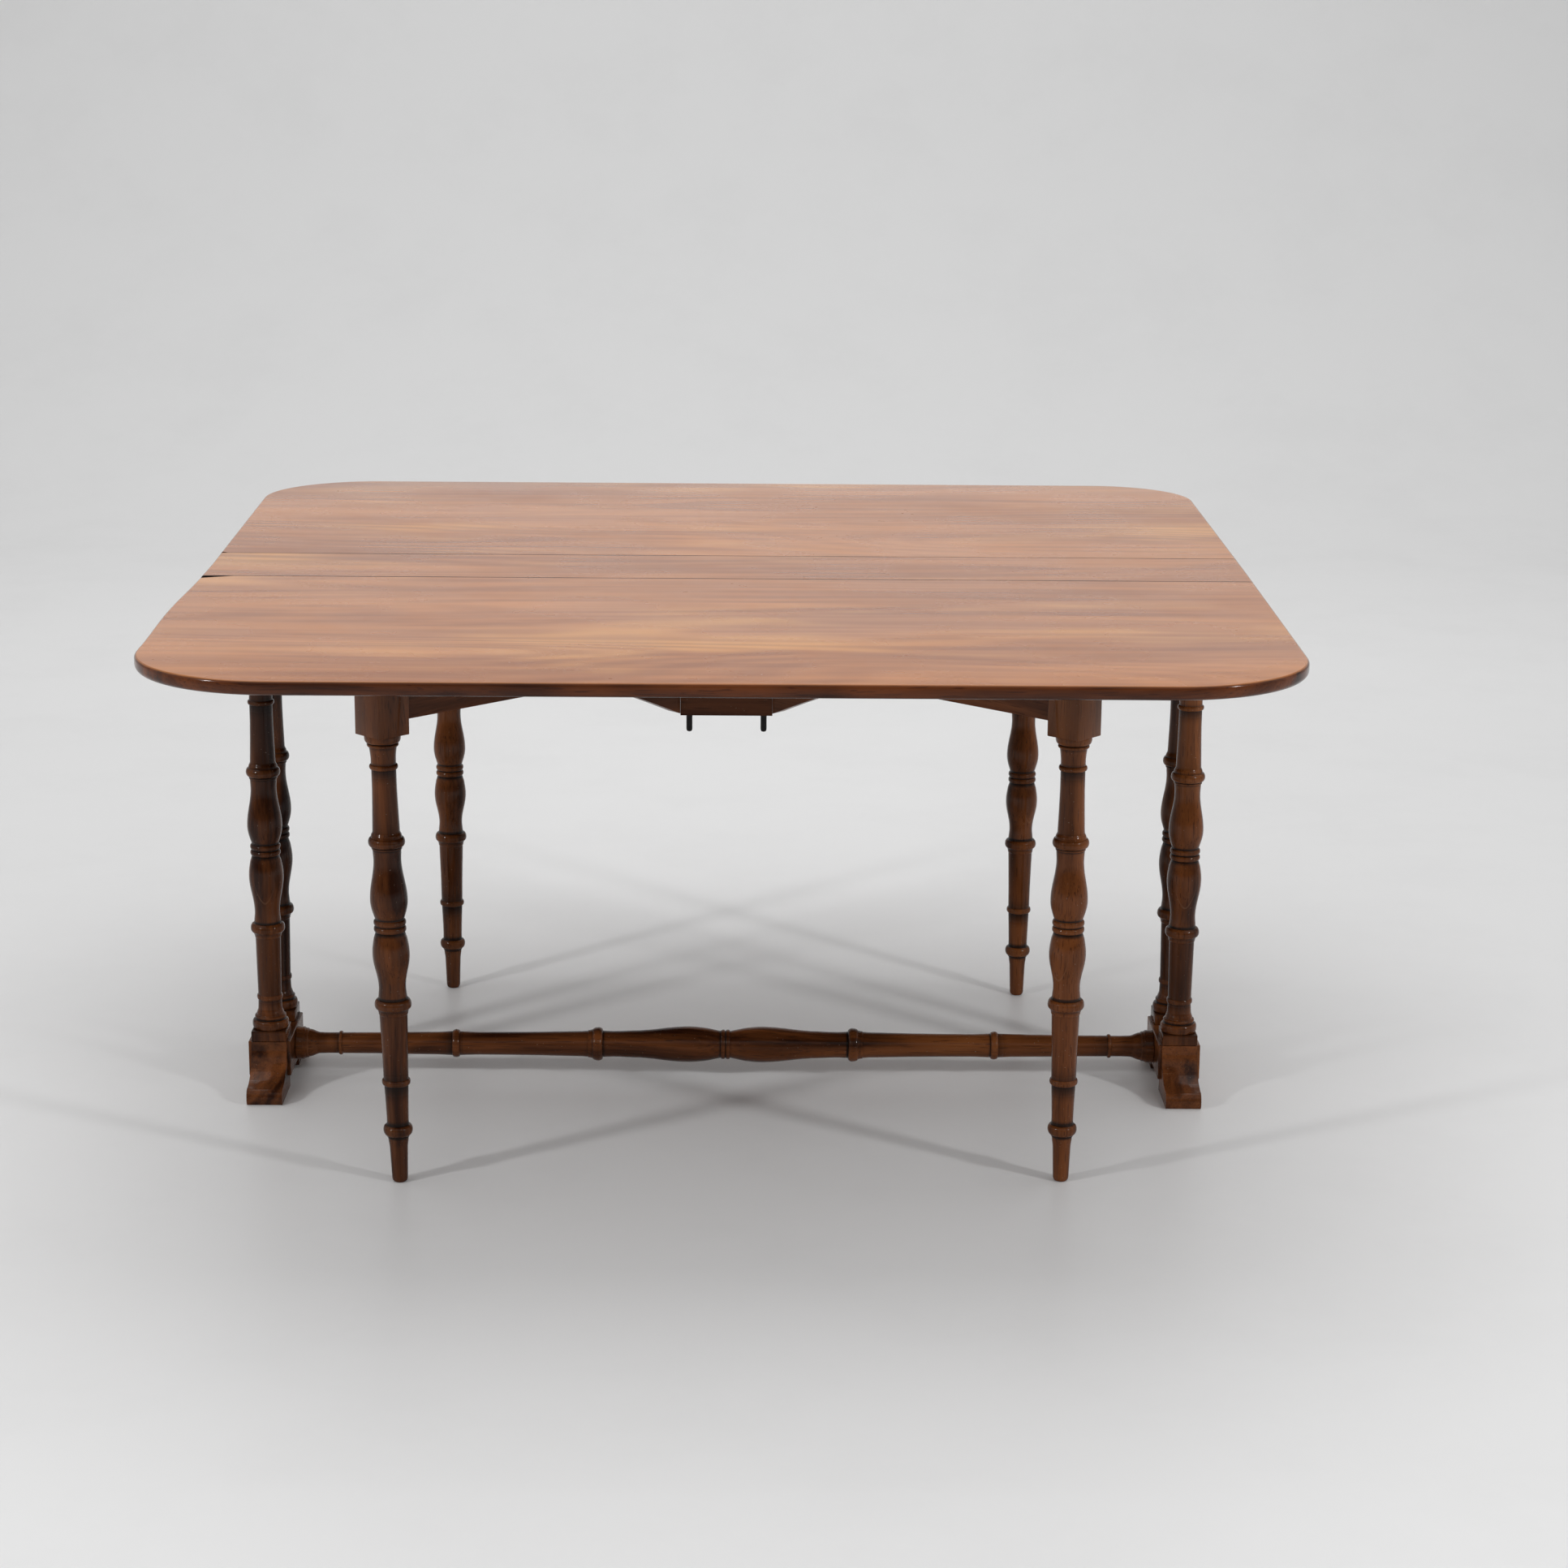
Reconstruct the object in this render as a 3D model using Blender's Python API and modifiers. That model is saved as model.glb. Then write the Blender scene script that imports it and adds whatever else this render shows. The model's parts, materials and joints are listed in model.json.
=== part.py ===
"""Gateleg table with a narrow centre board, two drop leaves and four turned gate legs.

Blender 4.5, metres, +Z up. X runs along the table, -Y is its front, and the origin is on the
floor under the middle of the top. Each separate piece of the table is one named object.
"""

from math import atan, atan2, cos, pi, radians, sin

import bmesh
import bpy
from mathutils import Matrix, Vector

# Smallest clearance kept between pieces that touch, and how far a cutter runs past what it cuts
GAP = 0.0003
CUTTER_MARGIN = 0.01

# Top: a centre board and two leaves on rule joints
TABLE_HEIGHT = 0.720
TOP_HALF_DEPTH = 0.7375
END_REACH = {"left": 0.6898, "right": 0.6950}
REAR_FLARE = {"left": 0.0220, "right": 0.0125}
FRONT_TAPER = {"left": 0.0060, "right": 0.0180}
FRONT_BOW = {"left": 0.0040, "right": 0.0}
TOP_THICKNESS = 0.0175
CENTRE_HALF_DEPTH = 0.086
CORNER_RADIUS = {"front_left": 0.175, "front_right": 0.175, "rear_left": 0.160, "rear_right": 0.140}
CORNER_STEPS = 10
END_STEPS = 8
SECTION_LENGTH = 1.47
RIM_ROUNDING = 0.0055
SEAM_GAP = 0.0009
RULE_FILLET = 0.0030
RULE_RADIUS = 0.0115
RULE_CLEARANCE = 0.0005
UNDERSIDE = TABLE_HEIGHT - TOP_THICKNESS
LEAF_AXIS_Z = TABLE_HEIGHT - RULE_FILLET - RULE_RADIUS

# Hinges let into the undersides, three to a leaf
HINGE_XS = (-0.52, 0.0, 0.52)
HINGE_LENGTH = 0.040
HINGE_PLATE = 0.0016
HINGE_RECESS = 0.0022
FIXED_PLATE_WIDTH = 0.034
LEAF_PLATE_WIDTH = 0.044
PLATE_SETBACK = 0.0012
KNUCKLE_RADIUS = 0.0025
KNUCKLE_ROOM = 0.0007
GROOVE_REACH = 0.0040
KNUCKLE_COUNT = 3
HINGE_PIN_RADIUS = 0.0011
HINGE_PIN_CLEARANCE = 0.00006

# Trestles at the two ends: base beam, scroll feet, two turned columns and a bearer
TRESTLE_X = 0.6225
COLUMN_Y = 0.045
PLINTH_SIDE = 0.0472
BEAM_WIDTH = 0.057
BEAM_LENGTH = 0.130
BEAM_BOTTOM = 0.0220
BEAM_TOP = 0.0712
PLINTH_TOP = 0.0862
FOOT_WIDTH = 0.0480
FOOT_FACE_Y = 0.0690
TOE_Y = 0.1262
TOE_HEIGHT = 0.0215
TOE_RADIUS = 0.0085
TOE_CENTRE_Z = 0.0090
TOE_FLAT = 0.0065
TOE_UNDERCUT = 0.0042
FOOT_LIP = 0.0060
FOOT_BEVEL = 0.0014
BEAM_BEVEL = 0.0010
BEARER_BEVEL = 0.0015
FOOT_HEEL_Y = 0.0440
HEAD_BOTTOM = 0.5820
BEARER_BOTTOM = 0.6722
BEARER_WIDTH = 0.050
BEARER_LENGTH = 0.142

# Rail and pivot blocks under the centre board
RAIL_THICKNESS = 0.036
RAIL_BOTTOM = 0.6120
BLOCK_HALF_LENGTH = 0.0612
BLOCK_FRONT_Y = 0.0705
BLOCK_BOTTOM = 0.5320
BLOCK_WEB_HALF = 0.0310
SLOT_BOTTOM = 0.5565
SLOT_TOP = 0.6690

# Gates: an arm on a vertical iron pin, with a turned leg at its end
PIVOT_X = 0.0497
PIVOT_Y = 0.0465
PIVOT_PIN_RADIUS = 0.0041
PIVOT_PIN_BOTTOM = 0.5050
PIVOT_PIN_TOP = 0.6900
PIVOT_CLEARANCE = 0.00008
ARM_RADIUS = 0.5146
ARM_THICKNESS = 0.024
SHOULDER_GAP = 0.0006
ARM_TOP = 0.7015
ARM_BOTTOM_PIVOT = 0.5354
ARM_BOTTOM_HEAD = 0.5985
ARM_SWEEP_END = 0.205
SWEEP_STRAIGHTNESS = 0.55
KNUCKLE_END_GAP = 0.0006
NECK_INSET = 0.0004
NECK_OVERLAP = 0.0040
ARM_KNUCKLE_RADIUS = 0.0155
HEAD_SIDE = 0.0476
HEAD_TOP = 0.7018
GATE_ANGLES = {"front_left": 44.0, "front_right": 42.2, "rear_left": 44.9, "rear_right": 41.3}
FRONT_LEFT_LEAN = 1.0
STOP_SIZE = (0.040, 0.016, 0.0125)
STOP_GAP = 0.0006
STOP_BEVEL = 0.0012

# Turned work
LEG_TIP_RADIUS = 0.0078
LEG_BEAD_HEIGHT = 0.2335
COLUMN_BEAD_HEIGHT = 0.2265
TURNED_SEGMENTS = 12
STRETCHER_Z = 0.0480
STRETCHER_END_X = TRESTLE_X - BEAM_WIDTH / 2 - GAP

SIDES = {"front": -1, "rear": 1}
ENDS = {"left": -1, "right": 1}

MATERIALS = {
    "top_mahogany": ((0.50, 0.24, 0.13, 1.0), 0.30, 0.0),
    "turned_mahogany": ((0.085, 0.026, 0.012, 1.0), 0.24, 0.0),
    "frame_mahogany": ((0.060, 0.020, 0.011, 1.0), 0.38, 0.0),
    "black_iron": ((0.012, 0.012, 0.013, 1.0), 0.45, 0.9),
    "hinge_brass": ((0.30, 0.19, 0.07, 1.0), 0.42, 1.0),
}


# ---------------------------------------------------------------- scene and object helpers

def clear_scene():
    for thing in list(bpy.data.objects):
        bpy.data.objects.remove(thing, do_unlink=True)


def make_collection(name):
    collection = bpy.data.collections.new(name)
    bpy.context.scene.collection.children.link(collection)
    return collection


def make_material(name):
    colour, roughness, metallic = MATERIALS[name]
    material = bpy.data.materials.new(name)
    material.use_nodes = True
    shader = material.node_tree.nodes["Principled BSDF"]
    shader.inputs["Base Color"].default_value = colour
    shader.inputs["Roughness"].default_value = roughness
    shader.inputs["Metallic"].default_value = metallic
    material.diffuse_color = colour
    return material


def add_mesh_object(name, mesh, collection, material):
    thing = bpy.data.objects.new(name, mesh)
    collection.objects.link(thing)
    mesh.materials.append(material)
    return thing


def add_empty(name, collection, location):
    empty = bpy.data.objects.new(name, None)
    empty.location = location
    empty.empty_display_size = 0.05
    collection.objects.link(empty)
    return empty


def keep_place_under(child, parent):
    """Parents child without moving it."""
    bpy.context.view_layer.update()
    child.parent = parent
    child.matrix_parent_inverse = parent.matrix_world.inverted()


def box_mesh(name, low, high):
    """A box between two corners."""
    mesh = bpy.data.meshes.new(name)
    work = bmesh.new()
    size = [b - a for a, b in zip(low, high)]
    middle = [(a + b) / 2 for a, b in zip(low, high)]
    bmesh.ops.create_cube(work, size=1.0, matrix=Matrix.Translation(middle) @ Matrix.Diagonal((*size, 1)))
    work.to_mesh(mesh)
    work.free()
    return mesh


def cylinder_mesh(name, radius, low, high, segments=12, axis="Z"):
    """A closed cylinder on the Z or X axis between two heights."""
    mesh = bpy.data.meshes.new(name)
    work = bmesh.new()
    turn = Matrix.Rotation(pi / 2, 4, "Y") if axis == "X" else Matrix.Identity(4)
    place = turn @ Matrix.Translation((0, 0, (low + high) / 2))
    bmesh.ops.create_cone(work, cap_ends=True, segments=segments, radius1=radius, radius2=radius,
                          depth=high - low, matrix=place)
    work.to_mesh(mesh)
    work.free()
    return mesh


def bore_radius(pin_radius, clearance, segments):
    """The corner radius of a many-sided bore whose flats clear a round pin."""
    return (pin_radius + clearance) / cos(pi / segments)


def outline_mesh(name, points, thickness, frame):
    """A flat outline given a thickness, laid in the plane of frame's X and Y columns."""
    curve = bpy.data.curves.new(name + "_outline", "CURVE")
    curve.dimensions = "2D"
    curve.fill_mode = "BOTH"
    curve.extrude = thickness / 2
    spline = curve.splines.new("POLY")
    spline.points.add(len(points) - 1)
    for point, (a, b) in zip(spline.points, points):
        point.co = (a, b, 0, 1)
    spline.use_cyclic_u = True
    holder = bpy.data.objects.new(name + "_outline", curve)
    bpy.context.scene.collection.objects.link(holder)
    bpy.context.view_layer.update()
    graph = bpy.context.evaluated_depsgraph_get()
    mesh = bpy.data.meshes.new_from_object(holder.evaluated_get(graph))
    bpy.data.objects.remove(holder, do_unlink=True)
    mesh.name = name
    work = bmesh.new()
    work.from_mesh(mesh)
    bmesh.ops.remove_doubles(work, verts=work.verts, dist=1e-6)
    bmesh.ops.transform(work, verts=work.verts, matrix=frame)
    bmesh.ops.recalc_face_normals(work, faces=work.faces)
    work.to_mesh(mesh)
    work.free()
    return mesh


def cut(thing, cutter_mesh, cutters, operation="DIFFERENCE"):
    """Adds an exact Boolean to thing, with its cutter kept hidden in the cutters' collection."""
    cutter = bpy.data.objects.new(cutter_mesh.name, cutter_mesh)
    cutters.objects.link(cutter)
    cutter.hide_render = True
    cutter.display_type = "WIRE"
    modifier = thing.modifiers.new(cutter_mesh.name, "BOOLEAN")
    modifier.operation = operation
    modifier.solver = "EXACT"
    modifier.object = cutter
    return cutter


def add_bevel(thing, width, segments=1, angle=30):
    modifier = thing.modifiers.new("rounded_edges", "BEVEL")
    modifier.width = width
    modifier.segments = segments
    modifier.limit_method = "ANGLE"
    modifier.angle_limit = radians(angle)


# ---------------------------------------------------------------- turned work

class Turning:
    """A profile drawn from the foot of a turned piece upwards, as radius against height."""

    def __init__(self, height, radius):
        self.points = [(0.0, height), (radius, height)]

    def line(self, height, radius):
        self.points.append((radius, height))
        return self

    def ease(self, height, radius, steps=3):
        """A smooth S-curve to a new radius, level at both ends."""
        r0, z0 = self.points[-1]
        for i in range(1, steps + 1):
            t = i / steps
            s = (1 - cos(pi * t)) / 2
            self.points.append((r0 + (radius - r0) * s, z0 + (height - z0) * t))
        return self

    def bead(self, height, radius, end_radius=None, steps=3):
        """A round bead from here up to a height, as wide as radius in its middle."""
        r0, z0 = self.points[-1]
        r1 = r0 if end_radius is None else end_radius
        for i in range(1, steps + 1):
            a = pi * i / steps
            t = (1 - cos(a)) / 2
            base = r0 + (r1 - r0) * t
            bulge = sin(a) / cos(pi / (2 * steps) * (steps % 2))
            self.points.append((base + (radius - base) * bulge, z0 + (height - z0) * t))
        return self

    def cove(self, height, radius, steps=3):
        """A hollow that sweeps outwards to a wider radius."""
        r0, z0 = self.points[-1]
        for i in range(1, steps + 1):
            a = pi / 2 * i / steps
            self.points.append((r0 + (radius - r0) * (1 - cos(a)), z0 + (height - z0) * sin(a)))
        return self

    def close(self):
        self.points.append((0.0, self.points[-1][1]))
        return self


def add_shaft(profile, bead_height, shaft_radius):
    """The middle that legs and columns share, from the lower shaft to the flare under the head."""
    low, high = bead_height - 0.010, bead_height + 0.0095
    profile.line(low, shaft_radius).bead(high, 0.0230, 0.0178, 5)
    profile.ease(bead_height + 0.0235, 0.0169, 2).ease(0.3010, 0.0232).ease(0.3305, 0.0180)
    profile.bead(0.3388, 0.0203).bead(0.3470, 0.0203, 0.0176)
    profile.ease(0.3715, 0.0234).ease(0.4235, 0.0172, 4).line(0.4365, 0.0180)
    profile.bead(0.4565, 0.0227, 0.0168, 5).ease(0.5150, 0.0154, 2).line(0.5385, 0.0153)
    profile.bead(0.5455, 0.0179, 0.0154).line(0.5560, 0.0157).cove(0.5770, 0.0218)
    return profile.line(HEAD_BOTTOM + 0.004, 0.0222)


def leg_profile():
    profile = Turning(0.0, LEG_TIP_RADIUS).line(0.0030, 0.0098).line(0.0130, 0.0104).line(0.0440, 0.0115)
    profile.ease(0.0612, 0.0136, 3).bead(0.0765, 0.0183, 0.0139).line(0.1298, 0.0152)
    profile.bead(0.1372, 0.0180, 0.0157)
    return add_shaft(profile, LEG_BEAD_HEIGHT, 0.0174).close()


def column_profile():
    profile = Turning(PLINTH_TOP - 0.004, 0.0225).line(PLINTH_TOP, 0.0225).bead(0.0985, 0.0246, 0.0214)
    profile.line(0.0998, 0.0203).bead(0.1050, 0.0213, 0.0192).ease(0.1160, 0.0161, 3)
    profile.line(0.1268, 0.0156).bead(0.1340, 0.0175, 0.0157)
    return add_shaft(profile, COLUMN_BEAD_HEIGHT, 0.0170).close()


def stretcher_profile():
    """Half of the stretcher, from its end at the beam to its middle; heights count inwards."""
    profile = Turning(0.0, 0.0226).line(0.0125, 0.0224).line(0.0135, 0.0212).line(0.0190, 0.0200)
    profile.line(0.0200, 0.0185).ease(0.0350, 0.0146).line(0.0580, 0.0144)
    profile.bead(0.0640, 0.0168, 0.0145).ease(0.1600, 0.0156, 3).line(0.2000, 0.0158).line(0.2160, 0.0167)
    profile.bead(0.2240, 0.0196, 0.0167).ease(0.2450, 0.0159, 3).line(0.3300, 0.0163).line(0.4020, 0.0181)
    profile.bead(0.4270, 0.0234, 0.0184, 5).line(0.4430, 0.0178).ease(0.5410, 0.0248, 5)
    return profile.ease(0.5872, 0.0184, 4).bead(STRETCHER_END_X, 0.0206, 0.0184)


def turned_mesh(name, points, segments=TURNED_SEGMENTS, axis="Z"):
    """The solid of a profile turned about the Z axis, or about X."""
    mesh = bpy.data.meshes.new(name + "_profile")
    mesh.from_pydata([(r, 0, z) for r, z in points], [(i, i + 1) for i in range(len(points) - 1)], [])
    blank = bpy.data.objects.new(name + "_profile", mesh)
    bpy.context.scene.collection.objects.link(blank)
    screw = blank.modifiers.new("turned", "SCREW")
    screw.steps = screw.render_steps = segments
    screw.use_merge_vertices = True
    screw.merge_threshold = 0.00001
    bpy.context.view_layer.update()
    graph = bpy.context.evaluated_depsgraph_get()
    solid = bpy.data.meshes.new_from_object(blank.evaluated_get(graph))
    bpy.data.objects.remove(blank, do_unlink=True)
    solid.name = name
    work = bmesh.new()
    work.from_mesh(solid)
    bmesh.ops.remove_doubles(work, verts=work.verts, dist=1e-6)
    if axis == "X":
        bmesh.ops.transform(work, verts=work.verts, matrix=Matrix.Rotation(pi / 2, 4, "Y"))
    bmesh.ops.recalc_face_normals(work, faces=work.faces)
    work.to_mesh(solid)
    work.free()
    return solid


# ---------------------------------------------------------------- top

def end_distance(end_name, y):
    """How far the top reaches along X at its left or right end; the front leaf's end may bow."""
    if y > 0:
        return END_REACH[end_name] + REAR_FLARE[end_name] * y
    span = TOP_HALF_DEPTH - CORNER_RADIUS["front_" + end_name] - CENTRE_HALF_DEPTH
    share = min(max((-y - CENTRE_HALF_DEPTH) / span, 0), 1)
    bow = FRONT_BOW[end_name] * (1 - cos(2 * pi * share)) / 2
    return END_REACH[end_name] + FRONT_TAPER[end_name] * y + bow


def corner_points(side_name, end_name):
    """The arc from an end of the top to its front or rear edge, tangent to both."""
    side = SIDES[side_name]
    radius = CORNER_RADIUS[f"{side_name}_{end_name}"]
    lean = atan(REAR_FLARE[end_name] if side > 0 else FRONT_TAPER[end_name])
    y = side * (TOP_HALF_DEPTH - radius)
    x = end_distance(end_name, y - radius * sin(lean)) - radius * cos(lean)
    start, end = -lean, side * pi / 2
    angles = (start + (end - start) * i / CORNER_STEPS for i in range(CORNER_STEPS + 1))
    return [(x + radius * cos(a), y + radius * sin(a)) for a in angles]


def end_points(end_name):
    """One end of the top from its front edge to its rear edge, as distances from the middle."""
    front = corner_points("front", end_name)
    rear = corner_points("rear", end_name)
    start, finish = front[0][1], rear[0][1]
    ys = [start * (END_STEPS - i) / END_STEPS for i in range(1, END_STEPS)]
    between = [(end_distance(end_name, y), y) for y in [*ys, 0.0, finish / 2]]
    return front[::-1] + between + rear


def slab_outline():
    """The open top seen from above: nearly square, with round corners and slightly longer at the rear."""
    left = [(-x, y) for x, y in reversed(end_points("left"))]
    return end_points("right") + left


def rule_arc(radius, side, steps=5):
    """The quarter round of a rule joint in the YZ plane, from its top outwards and down."""
    arc = []
    for i in range(steps + 1):
        a = pi / 2 * i / steps
        arc.append((side * (CENTRE_HALF_DEPTH + radius * sin(a)), LEAF_AXIS_Z + radius * cos(a)))
    return arc


def centre_section():
    """Cross-section of the centre board: a fillet and a quarter round on both long edges."""
    high, low = TABLE_HEIGHT + CUTTER_MARGIN, UNDERSIDE - CUTTER_MARGIN
    edge = [(CENTRE_HALF_DEPTH, high)] + rule_arc(RULE_RADIUS, 1)
    edge.append((CENTRE_HALF_DEPTH + RULE_RADIUS, low))
    return edge + [(-y, z) for y, z in reversed(edge)]


def leaf_section(side):
    """Cross-section of a leaf's space: a hollow that fits round the centre board's edge."""
    high, low = TABLE_HEIGHT + CUTTER_MARGIN, UNDERSIDE - CUTTER_MARGIN
    far = TOP_HALF_DEPTH + CUTTER_MARGIN
    hollow = rule_arc(RULE_RADIUS + RULE_CLEARANCE, side)
    lip = (side * (CENTRE_HALF_DEPTH + SEAM_GAP), hollow[0][1])
    return [(lip[0], high), lip, *hollow[1:], (hollow[-1][0], low), (side * far, low), (side * far, high)]


def section_mesh(name, section):
    """A cross-section in the YZ plane, run past both ends of the table."""
    frame = Matrix(((0, 0, 1, 0), (1, 0, 0, 0), (0, 1, 0, 0), (0, 0, 0, 1)))
    return outline_mesh(name, section, SECTION_LENGTH, frame)


def slab_mesh(name):
    middle = Matrix.Translation((0, 0, TABLE_HEIGHT - TOP_THICKNESS / 2))
    return outline_mesh(name, slab_outline(), TOP_THICKNESS, middle)


def add_board(name, section, parts, cutters, material):
    """A board of the top: the whole rounded slab, kept only inside the board's own section."""
    board = add_mesh_object(name, slab_mesh(name), parts, material)
    add_bevel(board, RIM_ROUNDING, 3, 60)
    cut(board, section_mesh(name + "_section", section), cutters, "INTERSECT")
    return board


def hinge_pockets(board, side, of_leaf, cutters):
    """Cuts the shallow recesses that a board's hinge plates lie in."""
    half = HINGE_LENGTH / 2 + GAP
    plate_y = CENTRE_HALF_DEPTH
    for i, x in enumerate(HINGE_XS):
        tag = f"{board.name}_pocket_{'front' if side < 0 else 'rear'}_{i}"
        if of_leaf:
            near = plate_y + RULE_RADIUS
            far = plate_y + LEAF_PLATE_WIDTH + GAP
            top = UNDERSIDE + HINGE_RECESS
        else:
            near = plate_y - FIXED_PLATE_WIDTH - GAP
            far = plate_y - KNUCKLE_RADIUS
            top = UNDERSIDE + HINGE_RECESS
            inner = plate_y - KNUCKLE_RADIUS - PLATE_SETBACK
            outer = plate_y + RULE_RADIUS + GROOVE_REACH
            ys = sorted((side * inner, side * outer))
            roof = LEAF_AXIS_Z + KNUCKLE_RADIUS + KNUCKLE_ROOM
            start = (x - half, ys[0], UNDERSIDE - CUTTER_MARGIN)
            groove = box_mesh(tag + "_groove", start, (x + half, ys[1], roof))
            cut(board, groove, cutters)
        ys = sorted((side * near, side * far))
        pocket = box_mesh(tag, (x - half, ys[0], UNDERSIDE - CUTTER_MARGIN), (x + half, ys[1], top))
        cut(board, pocket, cutters)


def add_hinge_half(name, x, side, of_leaf, parts, cutters, material):
    """One plate of a hinge with its knuckles, bored for the pin."""
    step = HINGE_LENGTH / KNUCKLE_COUNT
    width = LEAF_PLATE_WIDTH if of_leaf else FIXED_PLATE_WIDTH
    outward = side if of_leaf else -side
    near, far = outward * PLATE_SETBACK, outward * width
    base = UNDERSIDE + GAP - LEAF_AXIS_Z
    ys = sorted((near, far))
    start = (-HINGE_LENGTH / 2, ys[0], base)
    plate = box_mesh(name, start, (HINGE_LENGTH / 2, ys[1], base + HINGE_PLATE))
    half = add_mesh_object(name, plate, parts, material)
    half.location = (x, side * CENTRE_HALF_DEPTH, LEAF_AXIS_Z)
    for k in range(KNUCKLE_COUNT):
        low = -HINGE_LENGTH / 2 + k * step
        high = low + step
        if (k % 2 == 1) == of_leaf:
            ends = (low + GAP / 2, high - GAP / 2)
            tube = cylinder_mesh(f"{name}_knuckle_{k}", KNUCKLE_RADIUS, *ends, 10, "X")
            cut(half, tube, cutters, "UNION").location = half.location
        else:
            radius = KNUCKLE_RADIUS + GAP
            space = cylinder_mesh(f"{name}_space_{k}", radius, low - GAP / 2, high + GAP / 2, 10, "X")
            cut(half, space, cutters).location = half.location
    radius = bore_radius(HINGE_PIN_RADIUS, HINGE_PIN_CLEARANCE, 12)
    bore = cylinder_mesh(name + "_bore", radius, -HINGE_LENGTH, HINGE_LENGTH, 12, "X")
    cut(half, bore, cutters).location = half.location
    return half


def add_hinges(side_name, side, leaf_axis, parts, cutters, material):
    """The hinges of one leaf; the leaf's plates turn with it."""
    for i, x in enumerate(HINGE_XS):
        tag = f"hinge_{side_name}_{i + 1}"
        add_hinge_half(tag + "_fixed", x, side, False, parts, cutters, material)
        moving = add_hinge_half(tag + "_leaf", x, side, True, parts, cutters, material)
        keep_place_under(moving, leaf_axis)
        low, high = -HINGE_LENGTH / 2 + GAP, HINGE_LENGTH / 2 - GAP
        rod = cylinder_mesh(tag + "_pin", HINGE_PIN_RADIUS, low, high, 12, "X")
        pin = add_mesh_object(tag + "_pin", rod, parts, material)
        pin.location = (x, side * CENTRE_HALF_DEPTH, LEAF_AXIS_Z)


# ---------------------------------------------------------------- trestles

def foot_outline(side):
    """Side view of a foot: flush with the beam's top, hollow in front, with a rounded toe."""
    hollow = []
    for i in range(7):
        a = pi / 2 * i / 6
        y = FOOT_FACE_Y + (TOE_Y - TOE_FLAT - FOOT_FACE_Y) * (1 - cos(a))
        z = BEAM_TOP - FOOT_LIP - (BEAM_TOP - FOOT_LIP - TOE_HEIGHT) * sin(a)
        hollow.append((y, z))
    toe = []
    for i in range(1, 7):
        a = radians(90 - 150 * i / 6)
        z = TOE_CENTRE_Z + (TOE_HEIGHT - TOE_CENTRE_Z) * sin(a)
        toe.append((TOE_Y - TOE_RADIUS + TOE_RADIUS * cos(a), z))
    toe[-1] = (TOE_Y - TOE_UNDERCUT, 0.0)
    inner = BEAM_LENGTH / 2 + GAP
    under = BEAM_BOTTOM - GAP
    heel = [(FOOT_HEEL_Y, 0.0), (FOOT_HEEL_Y, under), (inner, under), (inner, BEAM_TOP)]
    points = [(FOOT_FACE_Y, BEAM_TOP)] + hollow + toe + heel
    return [(side * y, z) for y, z in points]


def add_foot(name, x, side, parts, material):
    frame = Matrix(((0, 0, 1, x), (1, 0, 0, 0), (0, 1, 0, 0), (0, 0, 0, 1)))
    mesh = outline_mesh(name, foot_outline(side), FOOT_WIDTH, frame)
    foot = add_mesh_object(name, mesh, parts, material)
    add_bevel(foot, FOOT_BEVEL, 1, 50)
    return foot


def add_column(name, x, y, parts, cutters, material):
    """A turned column with a square plinth below and a square head above, in one piece."""
    half = PLINTH_SIDE / 2
    column = add_mesh_object(name, turned_mesh(name, column_profile().points), parts, material)
    column.location = (x, y, 0)
    plinth = box_mesh(name + "_plinth", (-half, -half, BEAM_TOP + GAP), (half, half, PLINTH_TOP))
    cut(column, plinth, cutters, "UNION").location = column.location
    head = box_mesh(name + "_head", (-half, -half, HEAD_BOTTOM), (half, half, BEARER_BOTTOM - GAP))
    cut(column, head, cutters, "UNION").location = column.location
    return column


def add_trestle(end_name, end, parts, cutters, materials):
    x = end * TRESTLE_X
    beam_mesh = box_mesh(f"base_beam_{end_name}", (x - BEAM_WIDTH / 2, -BEAM_LENGTH / 2, BEAM_BOTTOM),
                         (x + BEAM_WIDTH / 2, BEAM_LENGTH / 2, BEAM_TOP))
    beam = add_mesh_object(f"base_beam_{end_name}", beam_mesh, parts, materials["turned_mahogany"])
    add_bevel(beam, BEAM_BEVEL)
    start = (x - BEARER_WIDTH / 2, -BEARER_LENGTH / 2, BEARER_BOTTOM)
    bearer_mesh = box_mesh(f"top_bearer_{end_name}", start,
                           (x + BEARER_WIDTH / 2, BEARER_LENGTH / 2, UNDERSIDE - GAP))
    bearer = add_mesh_object(f"top_bearer_{end_name}", bearer_mesh, parts, materials["frame_mahogany"])
    add_bevel(bearer, BEARER_BEVEL)
    for side_name, side in SIDES.items():
        add_foot(f"foot_{side_name}_{end_name}", x, side, parts, materials["turned_mahogany"])
        add_column(f"column_{side_name}_{end_name}", x, side * COLUMN_Y, parts, cutters,
                   materials["turned_mahogany"])


def add_stretcher(parts, material):
    """The turned stretcher between the base beams, alike on both sides of its middle."""
    half = stretcher_profile().points
    other = [(r, 2 * STRETCHER_END_X - z) for r, z in reversed(half[:-1])]
    mesh = turned_mesh("stretcher", half + other, TURNED_SEGMENTS, "X")
    stretcher = add_mesh_object("stretcher", mesh, parts, material)
    stretcher.location = (-STRETCHER_END_X, 0, STRETCHER_Z)
    return stretcher


# ---------------------------------------------------------------- rail and gates

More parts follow.
